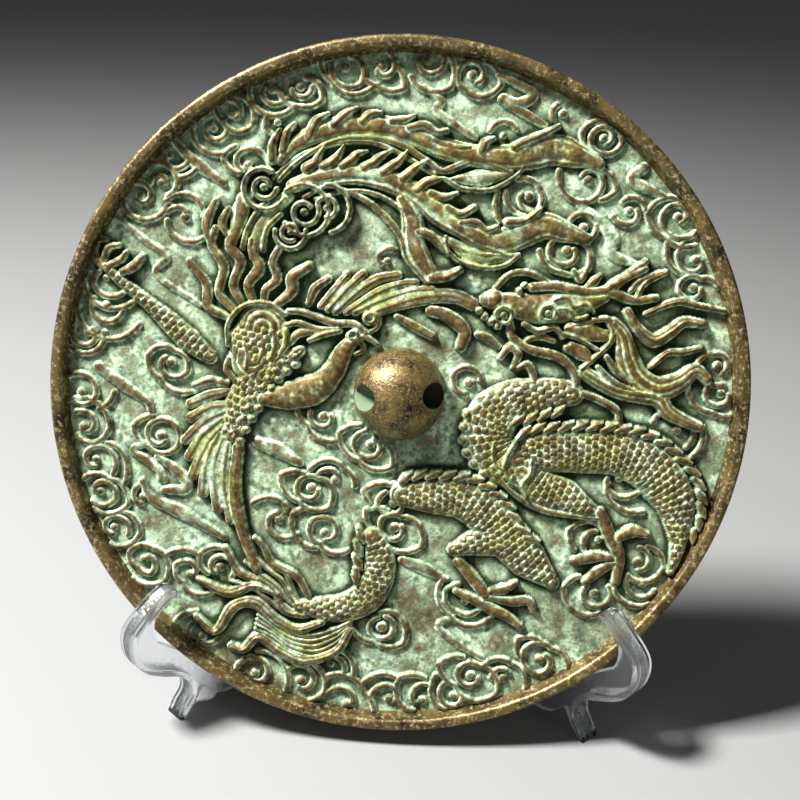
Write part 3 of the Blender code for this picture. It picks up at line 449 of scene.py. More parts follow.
PLUME_FLAMES = [
    ([(-22.6, 42), (-22.4, 45), (-21.2, 47.2)], [1.2, 1.5, 1.2], 1.2),
    ([(-20.6, 43.6), (-20, 46.6), (-18.6, 48.3)], [1.2, 1.5, 1.2], 1.2),
    ([(-16, 46), (-14.6, 48.8), (-12.6, 50)], [1.4, 1.8, 1.2], 1.2),
    ([(-11.6, 48), (-9.6, 49.8), (-7.6, 50.9)], [1.2, 1.7, 1.2], 1.2),
    ([(-6.6, 48.6), (-5, 50), (-3.2, 50.2)], [1.2, 1.5, 1.2], 1.1),
    ([(-1.4, 48.8), (0.8, 48.9), (2.6, 49.6)], [1.0, 1.5, 1.1], 1.1),
    ([(1.8, 47.6), (4.4, 48), (6.6, 46.8), (8.4, 47)], [1.0, 1.5, 1.6], 1.2),
    ([(6, 45.4), (9.2, 44.2), (12.6, 44.2)], [1.0, 1.3, 0.8], 1.0),
    ([(14.6, 43.4), (15.4, 45), (16.8, 45.7)], [1.2, 1.7, 1.3], 1.2),
    ([(20.4, 44.2), (23, 45.4), (26, 46.6), (28.2, 47.8)], [1.1, 1.5, 1.4], 1.2),
    ([(5.6, 36.2), (8, 35.4), (10.4, 36.2)], [1.0, 1.4, 1.0], 1.1),
    ([(8.6, 33.6), (11, 32.4), (13.4, 33.6)], [1.0, 1.5, 1.8], 1.2),
    ([(11, 31), (13.6, 31), (15.6, 29.6), (17.6, 30.2)], [1.0, 1.4, 1.4], 1.1),
    ([(19.4, 31), (22.4, 31.3), (25.2, 33.3)], [1.1, 1.4, 1.2], 1.1),
    ([(3.4, 29.4), (6, 28.4), (8.6, 25.4)], [1.0, 1.5, 1.2], 1.1),
    ([(6, 21.2), (8.6, 21.4), (11, 22.6)], [1.4, 1.7, 1.8], 1.2),
]


# Seven flames of one size in a row along the second plume
SECOND_PLUME_FLAMES = [
    [(-16.4, 40.6), (-14.9, 41.6), (-14.4, 42.6), (-13.4, 44.1)],
    [(-13.4, 40.8), (-11.6, 41.9), (-10.8, 42.8), (-9.9, 44.4)],
    [(-10, 40.8), (-8.4, 42), (-7.4, 43), (-5.7, 43.5)],
    [(-6.2, 40.6), (-4.4, 41.6), (-3.2, 42.6), (-1.3, 43.7)],
    [(-2.9, 39.8), (-1.2, 41), (0, 41.9), (1.4, 43.4)],
    [(0.6, 38.6), (2.1, 39.9), (3.2, 40.8), (4.8, 41.8)],
    [(3.2, 36.6), (4.8, 38), (6.4, 38.5), (8, 38.8)],
]


def plume_face(along, across, t, half):
    """A shallow groove either side of the middle and slow waves along the plume."""
    return 0.08 * np.sin(2 * np.pi * along / 4.5) - 0.14 * np.exp(-((t - 0.62) / 0.13)**2)


PLUME_FLAMES += [(points, [1.5, 1.6, 0.8], 1.1) for points in SECOND_PLUME_FLAMES]
raise_strokes(PLUMES, 1, FIGURE_HEIGHT, 0.35, plume_face)
raise_strokes(PLUME_RIBS, LINE_WIDTH, 1.25 * FEATHER_HEIGHT, 0.4)
raise_strokes(PLUME_FLAMES, [0.85, LINE_WIDTH, 0.4], 1.3 * FEATHER_HEIGHT)


# The phoenix on the left, cast in the field: a smooth neck and head, a scaled body and leg, two spread
# wings of long feathers, a crest, claws, and the strands of its tail.
PHOENIX_BODY = [
    ([(-25, -0.8), (-20, -0.2), (-15, 1.2), (-12, 4.2), (-10, 8), (-7.6, 10.6)],
     [1.4, 2.7, 3.0, 2.2, 1.8, 1.2], 1.0),
    ([(-26.6, 6.6), (-25.4, 10), (-24.8, 12.4)], [4.6, 6.0, 4.6], 0.95),
    ([(-18, 8), (-22, 5.3), (-26, 2), (-29, -2.5), (-30.5, -7.5)], [1.0, 2.6, 3.6, 3.4, 1.8], 0.85),
    ([(-53, 23.2), (-50, 20.3), (-46, 17), (-42, 13.4), (-38.5, 10), (-34.5, 6.8)],
     [0.9, 1.1, 1.3, 1.9, 2.3, 1.4], 0.8),
]
WING_FEATHERS = [
    ([(-4.5, 15), (0, 16.6), (5, 17.8), (10, 17.8), (13.3, 16.4)], [1.2, 1.9, 1.4], 1.1),
    ([(-8, 15), (-3, 17.2), (2, 18.7), (6, 19.1)], [0.9, 1.2, 0.9], 1.0),
    ([(-9.5, 15), (-4, 18.4), (0, 19.9), (3, 20.2)], [0.9, 1.2, 0.9], 1.0),
    ([(-11.5, 15), (-7.5, 18.6), (-4, 20.8), (-0.2, 21.6)], [0.9, 1.3, 1.0], 1.0),
    ([(-12.8, 15.5), (-9.5, 19), (-6.5, 21.8)], [0.9, 1.2, 1.0], 1.0),
    ([(-14.2, 16), (-11.5, 19), (-9.4, 21.6)], [0.8, 1.1, 0.9], 1.0),
    ([(-16.3, 16.5), (-15.2, 19.2), (-12.8, 20.9)], [0.8, 1.1, 0.9], 1.0),
    ([(-31.5, 0.5), (-35, -0.5), (-38.2, -1.8)], [1.0, 1.5, 1.2], 1.0),
    ([(-31, -2), (-34.5, -2.4), (-38.2, -4.4)], [1.0, 1.4, 1.2], 1.0),
    ([(-32, -3.2), (-35.5, -5), (-39.2, -8.5)], [1.0, 1.4, 1.2], 1.0),
    ([(-32.5, -4.5), (-36, -7.5), (-38.7, -11.6)], [1.0, 1.4, 1.2], 1.0),
    ([(-32.6, -6), (-35.5, -9.5), (-38, -15)], [1.0, 1.5, 1.3], 1.0),
    ([(-33, -7), (-35.2, -11.5), (-36.3, -18.3)], [1.0, 1.5, 1.3], 1.0),
    ([(-32.5, -8.2), (-34.2, -14), (-33.6, -21.3)], [1.0, 1.5, 1.3], 1.0),
    ([(-31.4, -9), (-32.3, -16), (-31.2, -23.5)], [1.0, 1.5, 1.2], 1.0),
    ([(-29.6, -9.8), (-30.3, -18), (-29.2, -25), (-26.5, -32.8)], [1.3, 1.5, 1.1], 1.5),
]
CREST_AND_TAIL = [
    ([(-20, 15.2), (-17, 14.8), (-12, 13), (-8.5, 12.8), (-6.2, 11.2)], [1.0, 1.2, 1.3], 1.3),
    ([(-20.5, 12.6), (-18.3, 13), (-15, 11.8), (-11, 12)], [1.0, 1.3, 1.0], 1.2),
    ([(-19.8, 9.4), (-18, 11.2), (-14, 11.4)], [1.2, 1.5, 1.2], 1.2),
    ([(-5.2, 11.4), (-3.9, 12.6), (-4.2, 14.3), (-5.8, 14.2)], [0.8, 1.2, 1.5], 1.3),
    ([(-9.5, 9.6), (-6.4, 10.6), (-3.9, 9.2)], [1.2, 1.3, 0.7], 1.3),
    ([(-8.6, 9.4), (-7, 9.4), (-6.6, 8.2), (-8, 7.4)], [0.8, 1.0, 0.7], 1.2),
    ([(-16.3, 9.9), (-13.7, 11), (-10.8, 11.6)], [0.9, 1.2, 1.0], 1.4),
    ([(-25.6, 6), (-24.6, 8.4), (-24.8, 11)], [1.1, 1.3, 0.8], 1.6),
    ([(-23.4, 6.6), (-22.4, 9), (-22.8, 11.6)], [1.1, 1.3, 0.8], 1.6),
    ([(-21.6, 7.4), (-20.4, 9.4), (-20.6, 11.8)], [1.1, 1.3, 0.8], 1.6),
    ([(-27.8, 4.8), (-27.4, 7.2), (-28, 9.4)], [1.1, 1.3, 0.8], 1.6),
    ([(-30, 2.6), (-31.4, 4.6), (-31, 6.6)], [1.0, 1.3, 0.9], 1.2),
    ([(-31.6, 1.8), (-34.4, 2.6), (-37.4, 1.6)], [1.0, 1.3, 1.0], 1.0),
    ([(-24.5, 16.4), (-24.1, 19), (-22, 21), (-22.8, 24), (-21.4, 26.8)], [1.2, 1.5, 1.1], 1.2),
    ([(-22, 16.4), (-19.4, 18.8), (-19.2, 21.3), (-16.2, 23.3)], [1.4, 2.0, 1.5], 1.3),
    ([(-26.5, 17), (-27.2, 20), (-25.2, 23), (-26.6, 26), (-26.6, 28)], [1.3, 1.9, 0.9], 1.2),
    ([(-28.6, 16.8), (-30, 20), (-28.6, 24), (-30.4, 27), (-28.6, 31), (-27.8, 35)], [1.3, 1.7, 2.4],
     1.2),
    ([(-30, 15.4), (-32.6, 18.5), (-31.6, 23), (-33.8, 27), (-33, 30)], [1.3, 1.6, 1.2], 1.1),
    ([(-31, 14), (-34.6, 16), (-34.8, 20), (-38, 24.2)], [1.2, 1.7, 1.0], 1.1),
    ([(-34, 27.6), (-34.6, 31), (-32.8, 35)], [1.2, 1.6, 1.0], 1.1),
    ([(-31, 29), (-31.8, 31), (-30.6, 33.4)], [1.0, 1.4, 1.0], 1.1),
    ([(-53.6, 23.4), (-55, 25.4), (-54.6, 27.8), (-52.8, 28)], [1.4, 1.4, 0.9], 1.2),
    ([(-53.4, 24.4), (-52.4, 26.6), (-50.5, 27)], [1.2, 1.2, 0.9], 1.2),
    ([(-52.4, 23.4), (-50.2, 24.4), (-49.3, 25.6)], [1.2, 1.3, 0.9], 1.2),
    ([(-50, 22.2), (-48, 23.2), (-46.4, 24.8)], [1.3, 1.6, 1.3], 1.3),
]

raise_strokes(PHOENIX_BODY[:1], 1, FIGURE_HEIGHT, 0.4)
raise_strokes(PHOENIX_BODY[1:], 1, FIGURE_HEIGHT, 0.4, scales)
raise_stroke(smooth_line([(-31.2, 9), (-31, 13), (-28, 16.2), (-23.8, 16.6), (-20.6, 14.6)]),
             [0.45, 0.55], 1.75, 0.4)
# Rows of round scales down the body: how far each lies to the side, its first scale, and its end
for shift, first, last in ((-0.9, 0, 9), (0.8, 0, 9), (2.5, 0, 9), (4.1, 2, 9)):
    for number in range(first, last):
        share = (number + 0.5 * (round(shift * 10) % 2)) / 8.5
        x = -18.5 - 11.5 * share**0.85 - 0.72 * shift
        y = 6.4 - 14.5 * share**1.25 + 0.55 * shift
        raise_boss(x, y, 0.95, FIGURE_HEIGHT * (1.08 - 0.03 * shift**2))
raise_boss(-8.4, 10.4, 1.5, 1.15 * FIGURE_HEIGHT)
raise_ring(-8.3, 10.9, 0.75, 0.3, 1.4 * FIGURE_HEIGHT)
raise_ring(-5.2, 13.9, 0.9, 0.6, FIGURE_HEIGHT)
raise_strokes(WING_FEATHERS, 0.85, FEATHER_HEIGHT, 0.3, ribbon)
raise_strokes(CREST_AND_TAIL, LINE_WIDTH, FEATHER_HEIGHT, 0.4)


# The dragon on the right and below, cast in the field: a smooth snout, a scaled body in several bends with
# spines along its back, a horned head and a blowing mane, clawed legs, and a tail that ends in strands.
DRAGON_BODY = [
    ([(15.8, 17.2), (19, 16.6), (25, 15.6), (31, 16.2), (37, 17.6)], [1.4, 2.4, 3.2, 3.0, 1.0], 0.95),
    ([(31.4, 0.2), (26.4, 0), (21.2, -1.2), (17.2, -4.4), (16.4, -8.4), (18.4, -12.4), (22, -15)],
     [2.4, 3.0, 3.9, 4.9, 5.0, 4.6, 3.4], 0.85),
    ([(21.5, -11.6), (26, -10.6), (33.2, -10.4), (40.6, -11), (46.4, -13.8), (50.6, -19.4),
     (51.6, -24.8), (51.2, -29.8), (50.2, -33)], [3.0, 4.2, 4.2, 4.2, 4.6, 4.7, 3.6, 1.7, 0.8], 0.95),
    ([(22.5, -14.4), (26, -17.2), (30.4, -18.9), (35.4, -21.6)], [3.0, 3.7, 3.2, 1.5], 0.9),
    ([(0.5, -18.6), (6, -18.9), (12, -19.6), (16.5, -22.5), (20, -26.5), (24, -31), (28.5, -35.2)],
     [2.3, 3.4, 3.9, 4.4, 4.2, 3.6, 1.4], 0.95),
    ([(19, -27.5), (14.5, -27.6), (10.2, -29)], [2.8, 2.8, 1.4], 0.85),
    ([(-5, -26.5), (-3.8, -30), (-4, -34), (-6, -38), (-10, -40.2), (-14.5, -40.4), (-18.8, -39.8)],
     [1.8, 3.0, 3.2, 3.2, 2.8, 2.4, 1.2], 0.9),
]
HEAD_LINES = [
    ([(5.8, 15.2), (8.6, 14.4), (11.8, 11.6), (11.2, 8.8)], [1.8, 2.2, 1.8], 1.2),
    ([(-0.4, 14.2), (3, 12.2), (6, 10.6)], [1.0, 1.5, 1.3], 0.9),
    ([(14.2, 10.9), (16, 10.3), (18, 8.8)], [1.1, 1.4, 1.0], 0.9),
    ([(20, 13.2), (20.6, 10.4), (24, 8.2), (29.4, 6.6), (32.2, 3), (31, -0.6)], [1.3, 1.5, 1.2], 1.2),
    ([(17.4, 19.4), (20, 21.8), (23.5, 22), (27, 20.2)], [0.9, 1.1, 0.9], 1.0),
    ([(17.3, 14), (18.6, 15), (19, 13.7)], [1.2, 1.6, 1.2], 1.3),
    ([(30.6, 11.2), (34, 11.2), (37.4, 11.4)], [1.6, 3.0, 1.0], 1.0),
    ([(30.6, 8.4), (33, 7.6), (34.6, 6)], [1.4, 2.4, 1.0], 1.0),
    ([(34, 18.4), (38, 18.6), (42, 17.2), (46.2, 17.5)], [1.6, 1.6, 1.3], 1.3),
    ([(38.2, 19), (41, 21.6), (44.2, 24)], [1.4, 1.4, 1.1], 1.3),
    ([(41.6, 18.8), (43.2, 20.6), (46.8, 21.9)], [1.0, 1.3, 1.1], 1.2),
    ([(33.8, 19.4), (35, 20.4), (36.2, 21.6)], [1.2, 1.7, 0.8], 1.2),
]
# Here the last number is the height itself
FACE_LINES = [
    ([(31, 12), (34.2, 11.4), (37, 10.6)], [2.2, 3.6, 1.8], 1.7),
    ([(31.2, 8.8), (33.2, 7.6), (34.8, 6.2)], [1.8, 2.8, 1.2], 1.6),
    ([(30.2, 12.1), (34, 13.3), (37.9, 13.6), (38.5, 10.3), (36.4, 7.7), (33.1, 4.8)], [0.9, 1.2, 0.9],
     1.7),
    ([(29.4, 11.2), (32.4, 10.2), (36, 8.2)], [0.7, 0.9, 0.7], 1.7),
    ([(28, 17.2), (30, 17.6), (31.4, 16), (33.4, 16.4), (35, 15)], [0.8, 1.0, 0.8], 2.2),
    ([(28.6, 15.6), (30.4, 15.4), (31.6, 13.8), (34, 14.4)], [0.7, 0.9, 0.7], 2.1),
    ([(24, 19.4), (28, 19.6), (33.1, 18.6), (36.8, 18.8), (39.3, 20.5), (44.1, 22.7)], [1.6, 1.9, 1.3],
     1.75),
    ([(22.6, 12.8), (25, 11.6), (28, 12.2), (29.6, 10.6)], [1.0, 1.2, 1.0], 1.8),
    ([(23, 9.8), (25.4, 10.6), (28, 9.8)], [0.9, 1.3, 0.9], 1.3),
    ([(18.4, 6.8), (20.2, 8.8), (21.6, 7.4), (20.8, 5)], [1.0, 1.6, 1.0], 1.2),
    ([(21.4, 4.8), (23.4, 5.4), (24.6, 2.8), (24, 1.6)], [1.0, 1.4, 1.0], 1.2),
    ([(31.4, 22.4), (32.6, 20.8), (33.6, 22.2)], [0.9, 1.3, 0.8], 1.1),
]
MANE_STRANDS = [
    ([(38.6, 12.9), (40.4, 10.7), (41.5, 6.2), (43.4, 2.9), (47, 1.1), (50.7, 2.2), (53.6, 4.4),
     (55.8, 2.9)], [1.3, 2.5, 2.3, 1.0], 1.5),
    ([(41.2, 15.1), (43, 12.1), (45.9, 9.9), (48.9, 11.4), (51.4, 13.2), (54.7, 12.9)],
     [0.9, 1.4, 0.9], 1.45),
    ([(44.5, 14.7), (47.8, 16.2), (50.7, 16.9), (53.6, 16.2), (59, 15.1)], [0.6, 0.8, 0.5], 1.0),
    ([(33.8, 4), (36.8, 2.2), (40.4, 0.7), (46.7, -0.4), (48.9, -3), (51.4, -4.5), (54.7, -5.9)],
     [1.4, 1.9, 1.0], 1.4),
    ([(36, 5.1), (38.6, 2.4), (42.4, 0.9)], [0.6, 0.9, 0.5], 1.5),
    ([(37.5, 7), (39.7, 3.9), (42, 2)], [0.6, 0.8, 0.4], 1.5),
    ([(33.1, 0.3), (36.8, -1.1), (39.7, -3), (40.4, -5.6), (43, -7.4)], [0.7, 0.8, 0.6], 1.2),
    ([(45.6, 5.1), (48.5, 7.6), (51.4, 7.8), (54.7, 8.5)], [0.6, 0.8, 0.6], 1.0),
    ([(42.6, 17.3), (44.1, 20.3), (47.8, 22.1)], [0.7, 0.9, 0.6], 1.2),
]
BACK_SPINES = [
    [(21.2, -4.8), (24.5, -4.1), (28, -3.2), (31.5, -2.4)],
    [(22.6, -6.9), (25, -6.1), (28, -5.8), (33, -5.6), (37, -5.8), (41, -6.2), (44.8, -7),
     (48.7, -8.9), (52.3, -12.3), (54.5, -15.2), (55.6, -19), (55.4, -23.5), (53.6, -28)],
    [(1, -15.4), (4, -14.7), (7.5, -14.7), (10.9, -15), (14.3, -15.7), (17.8, -18), (20.6, -21.2),
     (22.4, -24.6), (25.6, -27.8)],
    [(-7, -26), (-7.6, -29.8), (-7.8, -33.3), (-9.4, -36)],
]
TAIL_STRANDS = [
    ([(-14.6, -43), (-19, -44.3), (-23, -42.6), (-27, -39.2), (-31, -40), (-34.4, -44.7), (-38, -42)],
     [1.4, 2.3, 1.2], 1.4),
    ([(-18, -41.6), (-21.6, -40.6), (-23.2, -37), (-25.4, -35), (-29.6, -33.6), (-32.4, -28.8)],
     [1.4, 1.6, 1.2], 1.2),
    ([(-22.6, -37.6), (-27, -35.9), (-32, -37.3), (-37.4, -34.8)], [1.2, 2.1, 1.1], 1.3),
    ([(-17, -38), (-19.2, -34.2), (-23.4, -31.9), (-25.2, -28.6), (-26.8, -27)], [1.1, 1.6, 1.0], 1.1),
    ([(-9.2, -44.4), (-12, -48.6), (-18, -50.4), (-22.6, -48.4), (-26.4, -45.8), (-29.2, -48.2),
     (-31.6, -47.6)], [1.4, 2.2, 1.4], 1.4),
    ([(-11.6, -44.4), (-15.6, -47.6), (-20.6, -47.2), (-24.4, -43.4)], [1.0, 1.3, 0.9], 0.9),
]
# The first and the last of five strands that spread evenly
TAIL_FANS = [
    ([(-9.1, -42.7), (-12.2, -44.3), (-16.5, -45.5), (-20.7, -44.8), (-24.2, -42.5), (-26.3, -40.8)],
     [(-9.1, -43.6), (-11.2, -47.2), (-15.4, -49.6), (-20, -48.6), (-23.9, -45.7), (-27, -44.3)]),
    ([(-18, -40), (-19.6, -37.4), (-21.2, -33.6), (-24, -31.2), (-25.8, -28)], [(-17.2, -42),
     (-21.4, -41), (-24.4, -38.8), (-27.6, -36.4), (-31.6, -35)]),
]
LEGS = [
    ([(37, -22), (38.8, -26), (40.6, -30), (40.2, -35)], [2.0, 2.2, 1.6], 1.3),
    ([(40.4, -26.6), (43, -25.4), (45.8, -26)], [1.6, 2.2, 1.2], 1.3),
    ([(39.4, -30.4), (36.6, -30.2), (32.6, -31)], [1.2, 2.0, 1.6], 1.2),
    ([(40, -31.4), (37.4, -32.6), (34.6, -35)], [1.3, 2.0, 1.4], 1.2),
    ([(11, -31.2), (13.4, -34), (16, -37.6)], [1.8, 2.1, 2.0], 1.3),
    ([(16.8, -37), (19.6, -36.4), (21.6, -35.2)], [1.2, 1.9, 1.0], 1.2),
    ([(17, -38), (20.6, -38.8), (24, -38.8), (25, -40.4)], [1.2, 1.9, 1.2], 1.2),
    ([(10.6, -36.9), (15, -39), (19.6, -41.4), (22.6, -43.6)], [1.2, 2.2, 1.2], 1.2),
]

raise_strokes(DRAGON_BODY[:1], 1, FIGURE_HEIGHT, 0.4)
raise_strokes(DRAGON_BODY[1:], 1, FIGURE_HEIGHT, 0.4, scales)
raise_strokes(HEAD_LINES + LEGS, LINE_WIDTH, FEATHER_HEIGHT, 0.4)
raise_strokes(TAIL_STRANDS, 0.6, FEATHER_HEIGHT, 0.4, strands)
for first, last in TAIL_FANS:
    for share in np.linspace(0, 1, 5):
        points = np.array(first) + share * (np.array(last) - np.array(first))
        raise_stroke(smooth_line(points), [0.35, 0.6, 0.4], 1.3, 0.5)
raise_strokes(MANE_STRANDS, 1, FEATHER_HEIGHT, 0.4, strands)
raise_strokes(FACE_LINES, 0.6, 1, 0.4)
for points in BACK_SPINES:
    raise_spines(points, pitch=2.6, top=FIGURE_HEIGHT)
# A line along the lower bend of the body, then folds where its bends cross
for points, widths, top in (
        ([(17, -14), (21.4, -18.6), (26.6, -21.4), (32, -22.4), (37, -23)], [0.5, 0.8, 0.6], 1.5),
        ([(22, -7.4), (20.2, -10.6), (19.2, -13.4), (20.4, -16)], [0.4, 0.7, 0.4], 2.2),
        ([(17.2, -9), (17.4, -12), (19, -14)], [0.4, 0.7, 0.4], 2.1),
        ([(24.2, -12), (24, -14.5), (22.6, -16.5), (23.4, -19)], [0.4, 0.7, 0.4], 2.2)):
    raise_stroke(smooth_line(points), widths, top)
# Rows of small domes at the bend of the body, on the muzzle and on the brow
for points, pitch, radius, share in (
        ([(12.4, -3.6), (11.7, -8), (12.8, -11.6), (15.4, -14.6)], 2.3, 1.0, 0.9),
        ([(14.4, 15.3), (16.1, 13.6), (17.9, 12.5)], 1.8, 0.8, 0.9),
        ([(21.6, 18.8), (22.6, 19.8)], 1.4, 0.7, 1.1)):
    raise_row(points, pitch, radius, share * FIGURE_HEIGHT)
# Round lumps of the face, two of them with a ring round them
raise_boss(17.2, 17.3, 1.9, 1.2 * FIGURE_HEIGHT)
raise_boss(26.7, 14.9, 0.75, 1.5 * FIGURE_HEIGHT)
raise_ring(26.7, 14.9, 1.35, 0.4, 1.3 * FIGURE_HEIGHT)
raise_boss(18.8, 14.5, 0.8, 1.25 * FIGURE_HEIGHT)
raise_ring(18.8, 14.5, 1.5, 0.4, 1.15 * FIGURE_HEIGHT)


# The clouds, cast in the field between the figures: curls of one ridge wound round a small boss, with a
# second ridge outside it, and tails that join them. A knot of higher curls lies over the plumes' roots.
CLOUD_HALF_WIDTH = 0.6
